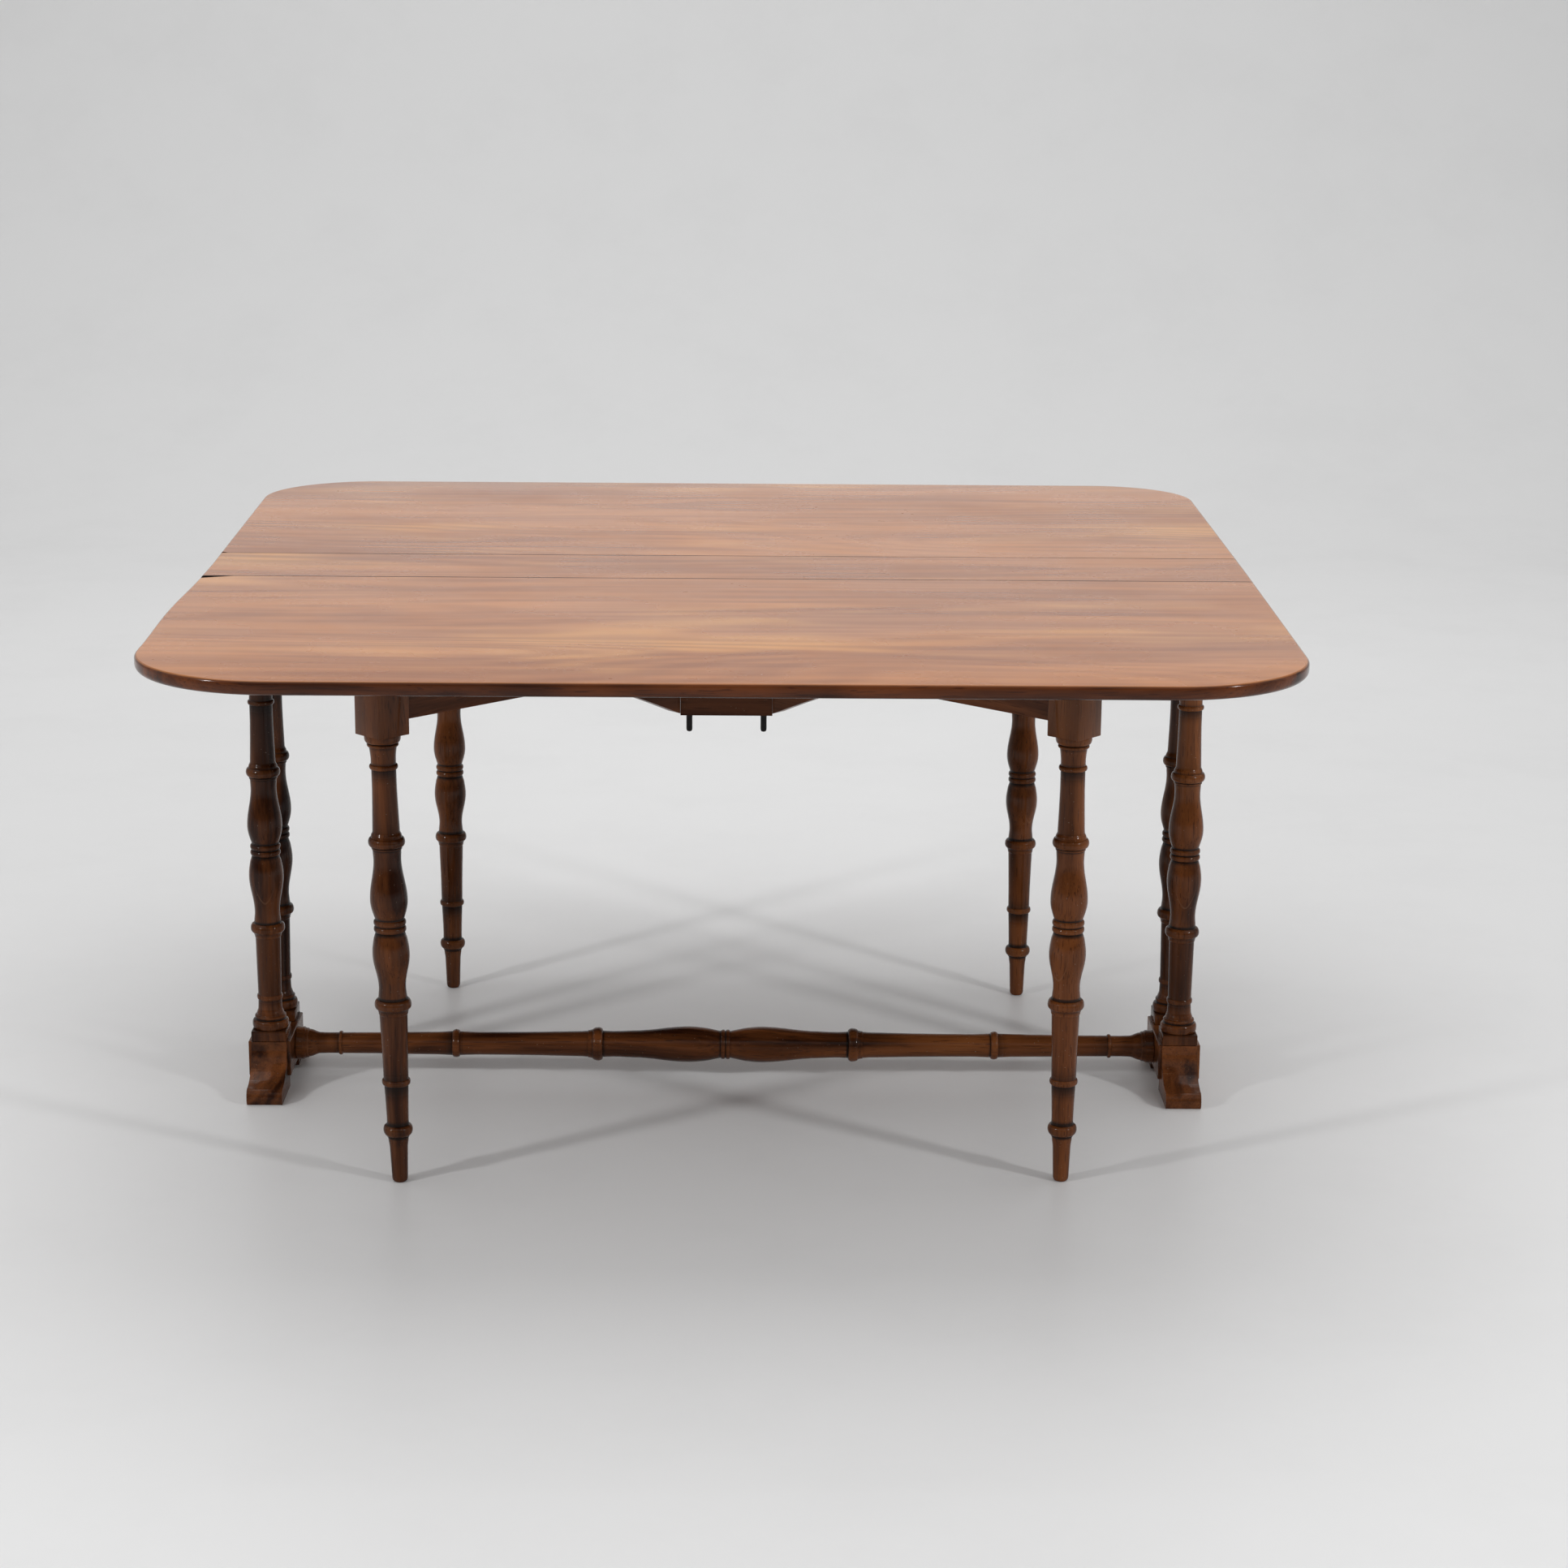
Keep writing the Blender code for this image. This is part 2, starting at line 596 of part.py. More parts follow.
def add_rail(parts, material):
    """The long rail, notched at its ends to pass between the column heads under the bearers."""
    tongue, body = TRESTLE_X + PLINTH_SIDE / 2, TRESTLE_X - BEARER_WIDTH / 2 - GAP
    top, notch = UNDERSIDE - GAP, BEARER_BOTTOM - GAP
    outline = [(-tongue, RAIL_BOTTOM), (tongue, RAIL_BOTTOM), (tongue, notch), (body, notch),
               (body, top), (-body, top), (-body, notch), (-tongue, notch)]
    frame = Matrix(((1, 0, 0, 0), (0, 0, -1, 0), (0, 1, 0, 0), (0, 0, 0, 1)))
    mesh = outline_mesh("long_rail", outline, RAIL_THICKNESS, frame)
    return add_mesh_object("long_rail", mesh, parts, material)


def add_pivot_block(side_name, side, parts, cutters, material):
    """The block that two arms pivot in: a web between two pairs of cheeks."""
    name = f"pivot_block_{side_name}"
    ys = sorted((side * (RAIL_THICKNESS / 2 + GAP), side * BLOCK_FRONT_Y))
    block = add_mesh_object(name, box_mesh(name, (-BLOCK_HALF_LENGTH, ys[0], BLOCK_BOTTOM),
                                           (BLOCK_HALF_LENGTH, ys[1], UNDERSIDE - GAP)), parts, material)
    for end_name, end in ENDS.items():
        xs = sorted((end * BLOCK_WEB_HALF, end * (BLOCK_HALF_LENGTH + CUTTER_MARGIN)))
        slot = box_mesh(f"{name}_slot_{end_name}", (xs[0], ys[0] - CUTTER_MARGIN, SLOT_BOTTOM),
                        (xs[1], ys[1] + CUTTER_MARGIN, SLOT_TOP))
        cut(block, slot, cutters)
        radius = bore_radius(PIVOT_PIN_RADIUS, PIVOT_CLEARANCE, 16)
        low = BLOCK_BOTTOM - CUTTER_MARGIN
        bore = cylinder_mesh(f"{name}_bore_{end_name}", radius, low, PIVOT_PIN_TOP + GAP, 16)
        cut(block, bore, cutters).location = (end * PIVOT_X, side * PIVOT_Y, 0)
    return block


def arm_shoulder(angle):
    """Where an open arm's square shoulder starts, so that its corner just clears the pivot block."""
    to_block_end = BLOCK_HALF_LENGTH + SHOULDER_GAP - PIVOT_X
    return (to_block_end + ARM_THICKNESS / 2 * sin(angle)) / cos(angle)


def arm_outline(start):
    """Side view of an arm from its shoulder to the leg, deep at the pivot and straight outwards."""
    end = ARM_RADIUS - HEAD_SIDE / 2 - GAP
    drop = ARM_BOTTOM_HEAD - ARM_BOTTOM_PIVOT
    sweep = []
    for i in range(9):
        t = i / 8
        rise = SWEEP_STRAIGHTNESS * t + (1 - SWEEP_STRAIGHTNESS) * sin(pi / 2 * t)
        sweep.append((start + (ARM_SWEEP_END - start) * t, ARM_BOTTOM_PIVOT + drop * rise))
    return sweep + [(end, ARM_BOTTOM_HEAD), (end, ARM_TOP), (start, ARM_TOP)]


def add_arm(name, shoulder, parts, cutters, material):
    """An arm along its own +X from the pivot, with a round knuckle that fits the block's slot."""
    frame = Matrix(((1, 0, 0, 0), (0, 0, -1, 0), (0, 1, 0, 0), (0, 0, 0, 1)))
    plate = outline_mesh(name, arm_outline(shoulder), ARM_THICKNESS, frame)
    arm = add_mesh_object(name, plate, parts, material)
    low, high = SLOT_BOTTOM + KNUCKLE_END_GAP, SLOT_TOP - KNUCKLE_END_GAP
    half_neck = ARM_THICKNESS / 2 - NECK_INSET
    neck = box_mesh(name + "_neck", (0, -half_neck, low), (shoulder + NECK_OVERLAP, half_neck, high))
    knuckle = cylinder_mesh(name + "_knuckle", ARM_KNUCKLE_RADIUS, low, high, 24)
    radius = bore_radius(PIVOT_PIN_RADIUS, PIVOT_CLEARANCE, 16)
    bore = cylinder_mesh(name + "_bore", radius, low - CUTTER_MARGIN, high + CUTTER_MARGIN, 16)
    joined = [cut(arm, neck, cutters, "UNION"), cut(arm, knuckle, cutters, "UNION")]
    return arm, joined + [cut(arm, bore, cutters)]


def lean_turning(mesh, lean, heading):
    """Tips a turned leg about its head, its foot towards +X, and lifts it back to the floor."""
    about = Vector((0, 0, HEAD_BOTTOM))
    dip = LEG_TIP_RADIUS * sin(lean) - HEAD_BOTTOM * (1 - cos(lean))
    across = Vector((sin(heading), cos(heading), 0))
    lifted = Matrix.Translation(about + Vector((0, 0, dip)))
    mesh.transform(lifted @ Matrix.Rotation(-lean, 4, across) @ Matrix.Translation(-about))


def add_leg(name, parts, cutters, material):
    """A turned leg on the Z axis under a square head, in one piece."""
    leg = add_mesh_object(name, turned_mesh(name, leg_profile().points), parts, material)
    half = HEAD_SIDE / 2
    head = box_mesh(name + "_head", (-half, -half, HEAD_BOTTOM), (half, half, HEAD_TOP))
    return leg, cut(leg, head, cutters, "UNION")


def add_pivot_pin(name, x, y, parts, material):
    """The iron pin that an arm turns on, with its rounded end hanging below the block."""
    r = PIVOT_PIN_RADIUS
    profile = Turning(PIVOT_PIN_BOTTOM, 0.0018).line(PIVOT_PIN_BOTTOM + 0.0010, 0.0032)
    profile.line(PIVOT_PIN_BOTTOM + 0.0035, r).line(PIVOT_PIN_TOP, r).close()
    pin = add_mesh_object(name, turned_mesh(name, profile.points, 16), parts, material)
    pin.location = (x, y, 0)
    return pin


def add_gate(side_name, side, end_name, end, leaf_axis, parts, cutters, materials):
    """One gate: pin, arm and leg, turned about the pin to where it stands, and its stop."""
    tag = f"{side_name}_{end_name}"
    pivot = Vector((end * PIVOT_X, side * PIVOT_Y, 0))
    angle = radians(GATE_ANGLES[tag])
    heading = atan2(side * sin(angle), end * cos(angle))
    add_pivot_pin(f"pivot_pin_{tag}", pivot.x, pivot.y, parts, materials["black_iron"])
    axis = add_empty(f"gate_axis_{tag}", parts, pivot)
    axis.rotation_euler.z = heading
    shoulder = arm_shoulder(angle)
    arm, helpers = add_arm(f"arm_{tag}", shoulder, parts, cutters, materials["frame_mahogany"])
    for thing in [arm, *helpers]:
        thing.parent = axis
    leg, head = add_leg(f"leg_{tag}", parts, cutters, materials["turned_mahogany"])
    for thing in (leg, head):
        thing.location = (ARM_RADIUS, 0, 0)
        thing.parent = axis
    if tag == "front_left":
        lean_turning(leg.data, radians(FRONT_LEFT_LEAN), heading)
    add_stop(tag, pivot, heading, side * end, leaf_axis, parts, materials["frame_mahogany"])


def add_stop(tag, pivot, heading, turn, leaf_axis, parts, material):
    """The small block under a leaf that the open gate's head rests against."""
    length, width, height = STOP_SIZE
    name = f"gate_stop_{tag}"
    near = HEAD_SIDE / 2 + STOP_GAP
    ys = sorted((turn * near, turn * (near + width)))
    top = UNDERSIDE - GAP
    low = (ARM_RADIUS - length / 2, ys[0], top - height)
    mesh = box_mesh(name, low, (ARM_RADIUS + length / 2, ys[1], top))
    stop = add_mesh_object(name, mesh, parts, material)
    stop.location = pivot
    stop.rotation_euler.z = heading
    add_bevel(stop, STOP_BEVEL)
    keep_place_under(stop, leaf_axis)


def main():
    clear_scene()
    parts = make_collection("gateleg_table")
    cutters = make_collection("cutters")
    materials = {name: make_material(name) for name in MATERIALS}
    top_material = materials["top_mahogany"]
    centre = add_board("centre_board", centre_section(), parts, cutters, top_material)
    leaf_axes = {}
    for side_name, side in SIDES.items():
        hinge_pockets(centre, side, False, cutters)
        leaf = add_board(f"leaf_{side_name}", leaf_section(side), parts, cutters, top_material)
        hinge_pockets(leaf, side, True, cutters)
        axis = add_empty(f"leaf_axis_{side_name}", parts, (0, side * CENTRE_HALF_DEPTH, LEAF_AXIS_Z))
        keep_place_under(leaf, axis)
        add_hinges(side_name, side, axis, parts, cutters, materials["hinge_brass"])
        leaf_axes[side_name] = axis
    for end_name, end in ENDS.items():
        add_trestle(end_name, end, parts, cutters, materials)
    add_stretcher(parts, materials["turned_mahogany"])
    add_rail(parts, materials["frame_mahogany"])
    for side_name, side in SIDES.items():
        add_pivot_block(side_name, side, parts, cutters, materials["frame_mahogany"])
        for end_name, end in ENDS.items():
            add_gate(side_name, side, end_name, end, leaf_axes[side_name], parts, cutters, materials)


main()
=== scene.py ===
"""Finished surfaces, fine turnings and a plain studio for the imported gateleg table."""

import json
from math import atan, atan2, cos, pi, radians, sin

import bmesh
import bpy
from bpy.props import FloatProperty, FloatVectorProperty, IntProperty, PointerProperty
from mathutils import Matrix, Vector


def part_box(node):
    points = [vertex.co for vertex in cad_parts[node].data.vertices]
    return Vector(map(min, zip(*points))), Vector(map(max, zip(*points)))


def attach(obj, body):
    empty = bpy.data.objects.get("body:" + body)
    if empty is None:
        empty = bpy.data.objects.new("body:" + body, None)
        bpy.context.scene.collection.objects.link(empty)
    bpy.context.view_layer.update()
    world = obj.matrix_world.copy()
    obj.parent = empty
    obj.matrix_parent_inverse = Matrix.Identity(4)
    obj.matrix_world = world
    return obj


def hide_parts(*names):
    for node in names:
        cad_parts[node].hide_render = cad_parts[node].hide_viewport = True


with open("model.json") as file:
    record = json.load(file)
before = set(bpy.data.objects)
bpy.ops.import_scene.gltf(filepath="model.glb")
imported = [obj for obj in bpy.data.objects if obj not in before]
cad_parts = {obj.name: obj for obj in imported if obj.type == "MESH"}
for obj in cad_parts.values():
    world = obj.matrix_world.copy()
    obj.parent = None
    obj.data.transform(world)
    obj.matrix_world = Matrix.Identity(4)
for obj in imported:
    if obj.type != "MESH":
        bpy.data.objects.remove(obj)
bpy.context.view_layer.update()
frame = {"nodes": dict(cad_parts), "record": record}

bl_info = {
    "name": "Gateleg Table",
    "version": (1, 0, 0),
    "blender": (4, 5, 0),
    "location": "View3D > Sidebar > Gateleg Table",
    "description": "Builds the finished boards, turnings, joinery and studio round the table's frame",
    "category": "Object",
}

SIDES = {"front": -1, "rear": 1}
ENDS = {"left": -1, "right": 1}
GATES = [(side, end) for side in SIDES for end in ENDS]
TOP_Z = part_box("centre_board")[1].z
UNDERSIDE_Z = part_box("centre_board")[0].z
HALF_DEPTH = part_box("leaf_rear")[1].y
SEAM_Y = abs(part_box("hinge_front_1_pin")[0].y / 2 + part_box("hinge_front_1_pin")[1].y / 2)
HEAD_BOTTOM = 0.582
PLINTH_TOP = 0.0862

# Rule joints and hinges
RULE_RADIUS = 0.0115
COVE_RADIUS = 0.0120
RULE_FILLET = 0.003
CENTRE_ARRIS = 0.0005
LEAF_ARRIS = 0.0006
HINGE_HALF_WIDTH = 0.0203
HINGE_PLATE = 0.0022
HINGE_FIXED_END_Y = 0.0517
HINGE_LEAF_END_Y = 0.1303
CUTTER_MARGIN = 0.004

# Arms
ARM_THICKNESS = 0.024
ARM_LOW_AT_HEAD = 0.5985
ARM_SWEEP_END = 0.205
ARM_BEVEL = 0.0003
SHOULDER_SET = 0.0001
NECK_HALF = 0.0116
NECK_OVERLAP = 0.004
KNUCKLE_BOTTOM = 0.5571
KNUCKLE_TOP = 0.6684
KNUCKLE_RADIUS = 0.0155
BORE_RADIUS = 0.0043

# Feet
FOOT_FACE_Y = 0.069
FOOT_HEEL_Y = 0.044
FOOT_LIP = 0.006
FOOT_BEVEL = 0.0018
TOE_TOP = 0.0215
TOE_MIDDLE = 0.0090
TOE_RADIUS = 0.0085
TOE_FLAT = 0.0065
TOE_UNDERCUT = 0.0042
TOE_LOWEST = 0.0002
FIT_GAP = 0.0003

# Relief of a turning: how far along it a radius is compared, and the lift from groove to crest
RELIEF_REACH = 0.0055
RELIEF_SPAN = 0.0032
RELIEF_SAMPLES = 1200

CAMERA_PLACE = (0.0272, -4.2875, 1.4907)
CAMERA_TURN_Z = -0.6828
CAMERA_TILT = 75.9924
CAMERA_ROLL = 0.4747


# ------------------------------------------------------------------ settings

def length_setting(name, description, default):
    return FloatProperty(name=name, description=description, default=default, unit="LENGTH", precision=4)


def slope_setting(name, description, default):
    return FloatProperty(name=name, description=description, default=default, precision=4)


def power_setting(name, description, default):
    return FloatProperty(name=name, description=description, default=default, subtype="POWER", unit="POWER")


def colour_setting(name, description, default):
    return FloatVectorProperty(name=name, description=description, default=default, size=3,
                               subtype="COLOR", min=0.0, max=1.0)


class GatelegTopSettings(bpy.types.PropertyGroup):
    left_reach: length_setting("Left reach", "Distance from the middle of the top to its left end", 0.6898)
    right_reach: length_setting("Right reach", "Distance from the middle of the top to its right end", 0.6950)
    left_flare: slope_setting("Left flare", "Gain in reach per metre towards the rear left corner", 0.0220)
    right_flare: slope_setting("Right flare", "Gain in reach per metre towards the rear right corner", 0.0125)
    left_taper: slope_setting("Left taper", "Loss of reach per metre towards the front left corner", 0.0060)
    right_taper: slope_setting("Right taper", "Loss of reach per metre towards the front right corner",
                               0.0180)
    left_bow: length_setting("Left bow", "How far the front leaf's left end bows outwards", 0.0040)
    right_bow: length_setting("Right bow", "How far the front leaf's right end bows outwards", 0.0)
    half_depth: length_setting("Half depth", "Half the open top's depth across both leaves", HALF_DEPTH)
    front_left_corner: length_setting("Front left corner", "Radius of the front left corner", 0.175)
    front_right_corner: length_setting("Front right corner", "Radius of the front right corner", 0.175)
    rear_left_corner: length_setting("Rear left corner", "Radius of the rear left corner", 0.160)
    rear_right_corner: length_setting("Rear right corner", "Radius of the rear right corner", 0.140)
    upper_rounding: length_setting("Upper rounding", "Rounding of the rim's upper edge", 0.0042)
    lower_rounding: length_setting("Lower rounding", "Rounding of the rim's lower edge", 0.0072)
    seam_gap: length_setting("Seam gap", "Gap between the centre board and a leaf", 0.0009)


class GatelegTurningSettings(bpy.types.PropertyGroup):
    facets: IntProperty(name="Facets", description="Sides of each turned piece", default=64, min=12)
    head_side: length_setting("Head side", "Side of the square head on a leg or column", 0.0476)
    head_chamfer: length_setting("Head chamfer", "Softening of a square head's edges", 0.0012)


class GatelegFinishSettings(bpy.types.PropertyGroup):
    # The top's colours are far lighter than the same wood on the rim and turnings: a painted reflection of
    # the bright backdrop on the level face.
    top_sheen_light: colour_setting("Top, light grain", "Pale streaks in the polished top", (0.570, 0.226, 0.078))
    top_sheen_dark: colour_setting("Top, dark grain", "Dark streaks in the polished top", (0.335, 0.116, 0.042))
    top_sheen_glow: colour_setting("Top, golden figure", "Golden patches in the polished top",
                             (0.760, 0.370, 0.120))
    rim_light: colour_setting("Rim, light grain", "Pale streaks in the rim of the top",
                              (0.125, 0.032, 0.0070))
    rim_dark: colour_setting("Rim, dark grain", "Dark streaks in the rim of the top",
                             (0.020, 0.0048, 0.0020))
    turned_light: colour_setting("Turnings, light grain", "Pale figure in the turned wood",
                                 (0.170, 0.053, 0.0150))
    turned_dark: colour_setting("Turnings, dark grain", "Dark figure in the turned wood",
                                (0.022, 0.0062, 0.0025))
    turned_glow: colour_setting("Turnings, golden figure", "Golden patches in the turned wood",
                                (0.270, 0.095, 0.028))
    frame_light: colour_setting("Joinery, light grain", "Pale figure in arms, rail and blocks",
                                (0.190, 0.062, 0.022))
    frame_dark: colour_setting("Joinery, dark grain", "Dark figure in arms, rail and blocks",
                               (0.048, 0.0150, 0.0065))
    iron: colour_setting("Iron", "Black iron of the pivot pins", (0.014, 0.013, 0.013))
    brass: colour_setting("Brass", "Tarnished brass of the hinges", (0.30, 0.19, 0.07))


class GatelegStageSettings(bpy.types.PropertyGroup):
    floor: colour_setting("Floor", "Colour of the seamless floor", (0.78, 0.78, 0.78))
    dome: FloatProperty(name="Dome light", description="Strength of the even light from above and behind",
                        default=0.62, min=0.0)
    front_share: FloatProperty(name="Front share", description="How much of the dome's light the front keeps",
                               default=0.12, min=0.0, max=1.0, subtype="FACTOR")
    overhead: power_setting("Overhead light", "Power of the large overhead softbox", 84.0)
    backdrop: power_setting("Backdrop light", "Power of the softbox that lights the wall", 58.0)
    side: power_setting("Side lights", "Power of each side softbox", 42.0)
    focal_length: FloatProperty(name="Focal length", description="Focal length of the camera in millimetres",
                                default=74.53, min=10.0)


# ------------------------------------------------------------------ meshes and placing

def mesh_from(name, verts, faces):
    mesh = bpy.data.meshes.new(name)
    mesh.from_pydata(verts, [], faces)
    work = bmesh.new()
    work.from_mesh(mesh)
    bmesh.ops.remove_doubles(work, verts=work.verts, dist=1e-6)
    bmesh.ops.recalc_face_normals(work, faces=work.faces)
    work.to_mesh(mesh)
    work.free()
    return mesh


def loft(name, rings):
    """Joins rings of equally many points by quads, and caps the first and last ring."""
    count = len(rings[0])
    verts = [point for ring in rings for point in ring]
    faces = []
    for k in range(len(rings) - 1):
        for i in range(count):
            j = (i + 1) % count
            faces.append((k * count + i, k * count + j, (k + 1) * count + j, (k + 1) * count + i))
    faces.append(tuple(range(count))[::-1])
    faces.append(tuple(range(len(verts) - count, len(verts))))
    return mesh_from(name, verts, faces)


def extruded(name, outline, low, high, place):
    """A flat outline drawn in local X and Y, raised from low to high and then placed."""
    rings = [[place @ Vector((x, y, z)) for x, y in outline] for z in (low, high)]
    return loft(name, rings)


def box_mesh(name, low, high):
    x0, y0, z0 = low
    x1, y1, z1 = high
    outline = [(x0, y0), (x1, y0), (x1, y1), (x0, y1)]
    return extruded(name, outline, z0, z1, Matrix.Identity(4))


def lathe(name, points, facets):
    """A solid turned about Z from (radius, height) points, with a flat cap at each end."""
    angles = [2 * pi * i / facets for i in range(facets)]
    rings = [[(radius * cos(a), radius * sin(a), height) for a in angles] for radius, height in points]
    return loft(name, rings)


def with_modifiers(name, mesh, steps):
    """A mesh after modifiers, each (type, {setting: value}); a Boolean's object is given as a mesh."""
    holder = bpy.data.objects.new(name + "_work", mesh)
    bpy.context.scene.collection.objects.link(holder)
    helpers = []
    for kind, values in steps:
        modifier = holder.modifiers.new(kind.lower(), kind)
        for key, value in values.items():
            if key == "object":
                helper = bpy.data.objects.new(name + "_cutter", value)
                bpy.context.scene.collection.objects.link(helper)
                helpers.append(helper)
                value = helper
            setattr(modifier, key, value)
    bpy.context.view_layer.update()
    graph = bpy.context.evaluated_depsgraph_get()
    made = bpy.data.meshes.new_from_object(holder.evaluated_get(graph))
    for thing in [holder, *helpers]:
        bpy.data.objects.remove(thing, do_unlink=True)
    made.name = name
    return made


def boolean_step(operation, mesh):
    return "BOOLEAN", {"operation": operation, "solver": "EXACT", "object": mesh}


def bevel_step(width, segments=2, angle=40):
    return "BEVEL", {"width": width, "segments": segments, "limit_method": "ANGLE",
                     "angle_limit": radians(angle)}


def smooth(mesh, angle=32):
    mesh.shade_smooth()
    mesh.set_sharp_from_angle(angle=radians(angle))
    return mesh


def add_piece(name, mesh, material, nodes, place=None):
    """A finished piece that stands for CAD nodes and rides on their body."""
    piece = bpy.data.objects.new(name, mesh)
    bpy.context.scene.collection.objects.link(piece)
    if place is not None:
        piece.matrix_world = place
    mesh.materials.clear()
    mesh.materials.append(material)
    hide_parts(*nodes)
    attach(piece, body_holding(nodes[0]))
    return piece


def body_holding(node):
    for body, nodes in frame["record"]["behaviour"]["bodies"].items():
        if node in nodes:
            return body
    raise RuntimeError(f"no body holds {node}")


def dress_node(node, material, bevel=0.0):
    """Gives a CAD node its finish and, where its edges show, a fine rounding."""
    thing = frame["nodes"][node]
    thing.data.materials.clear()
    thing.data.materials.append(material)
    if bevel:
        modifier = thing.modifiers.new("softened_edges", "BEVEL")
        modifier.width = bevel
        modifier.segments = 2
        modifier.limit_method = "ANGLE"
        modifier.angle_limit = radians(40)
        modifier.harden_normals = True


def node_axis(node):
    """The upright line through the middle of a node's box."""
    low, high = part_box(node)
    return (low.x + high.x) / 2, (low.y + high.y) / 2


def gate_place(side, end):
    """Pivot and heading of a gate, read from its pin and its leg's square head."""
    pin = Vector((*node_axis(f"pivot_pin_{side}_{end}"), 0))
    top = [v.co for v in frame["nodes"][f"leg_{side}_{end}"].data.vertices if v.co.z > HEAD_BOTTOM + 0.1]
    head = sum(top, Vector()) / len(top)
    along = Vector((head.x - pin.x, head.y - pin.y, 0))
    heading = atan2(along.y, along.x)
    return Matrix.Translation(pin) @ Matrix.Rotation(heading, 4, "Z"), along.length


# ------------------------------------------------------------------ shader nodes

class NodePen:
    """Adds nodes to a tree from left to right and links them by socket name."""

    def __init__(self, tree):
        self.tree = tree
        self.count = 0

    def node(self, kind, **values):
        """A new node with values or links for its sockets."""
        made = self.tree.nodes.new(kind)
        made.location = (self.count * 60, -(self.count % 7) * 120)
        self.count += 1
        self.feed(made, **values)
        return made

    def feed(self, node, **values):
        """Sets or links a node's sockets by name; an underscore stands for a space."""
        for key, value in values.items():
            self.set_or_link(node.inputs[key.replace("_", " ")], value)

    def link(self, start, end):
        self.tree.links.new(start, end)

    def set_or_link(self, socket, value):
        if isinstance(value, bpy.types.NodeSocket):
            self.link(value, socket)
        else:
            socket.default_value = value

    def math(self, operation, *values, clamp=False):
        made = self.node("ShaderNodeMath")
        made.operation = operation
        made.use_clamp = clamp
        for socket, value in zip(made.inputs, values):
            self.set_or_link(socket, value)
        return made.outputs[0]

    def vector_math(self, operation, a, b):
        made = self.node("ShaderNodeVectorMath")
        made.operation = operation
        self.set_or_link(made.inputs[0], a)
        self.set_or_link(made.inputs[1], b)
        return made.outputs[0]

    def noise(self, vector, scale, detail=2.0, roughness=0.5):
        made = self.node("ShaderNodeTexNoise", Vector=vector, Scale=scale, Detail=detail, Roughness=roughness)
        return made.outputs["Fac"]

    def mix(self, factor, a, b):
        """A blend of two colours."""
        made = self.node("ShaderNodeMix")
        made.data_type = "RGBA"
        for index, value in ((0, factor), (6, a), (7, b)):
            self.set_or_link(made.inputs[index], value)
        return made.outputs[2]

    def ramp(self, value, low, high, start=0.0, end=1.0):
        """A smooth step from start to end while the value goes from low to high."""
        made = self.node("ShaderNodeMapRange", From_Min=low, From_Max=high, To_Min=start, To_Max=end,
                         Value=value)
        made.interpolation_type = "SMOOTHSTEP"
        return made.outputs["Result"]


def node_group(name, inputs, outputs, fill):
    """A node group with named sockets, filled by a function of its pen and sockets, made only once."""
    if name in bpy.data.node_groups:
        return bpy.data.node_groups[name]
    tree = bpy.data.node_groups.new(name, "ShaderNodeTree")
    for label, kind, default in inputs:
        socket = tree.interface.new_socket(name=label, in_out="INPUT", socket_type="NodeSocket" + kind)
        if default is not None:
            socket.default_value = default
    for label, kind in outputs:
        tree.interface.new_socket(name=label, in_out="OUTPUT", socket_type="NodeSocket" + kind)
    pen = NodePen(tree)
    fill(pen, pen.node("NodeGroupInput").outputs, pen.node("NodeGroupOutput").inputs)
    return tree


def draw_wood_figure(pen, given, out):
    """Mahogany figure along X: flame figure, ribbons, golden patches, fine fibre and dark open pores."""

    def stretched(along, across=1.0):
        return pen.vector_math("MULTIPLY", swayed, (along, across, across))

    vector = given["Vector"]
    sway = pen.noise(pen.vector_math("MULTIPLY", vector, (1.1, 2.6, 2.6)), 1.0, 2.0, 0.5)
    lean = pen.node("ShaderNodeCombineXYZ", Y=sway, Z=sway).outputs[0]
    swayed = pen.vector_math("ADD", vector, pen.vector_math("MULTIPLY", lean, (0.0, 0.10, 0.10)))
    broad = pen.ramp(pen.noise(stretched(0.12), given["Ribbon Scale"], 4.0, 0.55), 0.32, 0.70)
    hills = pen.noise(stretched(0.9, 5.0), 1.0, 1.0, 0.4)
    flame = pen.math("PINGPONG", pen.math("MULTIPLY", hills, 15.0), 0.5)
    flames = pen.ramp(flame, 0.05, 0.45)
    fibre = pen.ramp(pen.noise(stretched(0.030), given["Fibre Scale"], 3.0, 0.6), 0.25, 0.75)
    streaks = pen.ramp(pen.noise(stretched(0.045), 52.0, 1.0, 0.5), 0.30, 0.70)
    blend = pen.math("MULTIPLY", broad, 0.42)
    for layer, share in ((streaks, 0.24), (flames, 0.16), (fibre, 0.18)):
        blend = pen.math("MULTIPLY_ADD", layer, share, blend)
    centred = pen.math("MULTIPLY_ADD", pen.math("SUBTRACT", blend, 0.5), given["Contrast"], 0.5, clamp=True)
    colour = pen.mix(centred, given["Dark"], given["Light"])
    patches = pen.ramp(pen.noise(stretched(0.35), 5.5, 3.0, 0.55), 0.50, 0.74)
    glow = pen.math("MULTIPLY", patches, pen.math("MULTIPLY_ADD", flames, 0.5, 0.5))
    golden = pen.mix(pen.math("MULTIPLY", glow, given["Glow Amount"]), colour, given["Glow"])
    pores = pen.ramp(pen.noise(stretched(0.045), 640.0, 1.0, 0.4), 0.60, 0.70)
    pen.link(pen.mix(pen.math("MULTIPLY", pores, given["Pore Depth"]), golden, given["Dark"]), out["Color"])
    pen.link(fibre, out["Fibre"])
    pen.link(pores, out["Pores"])


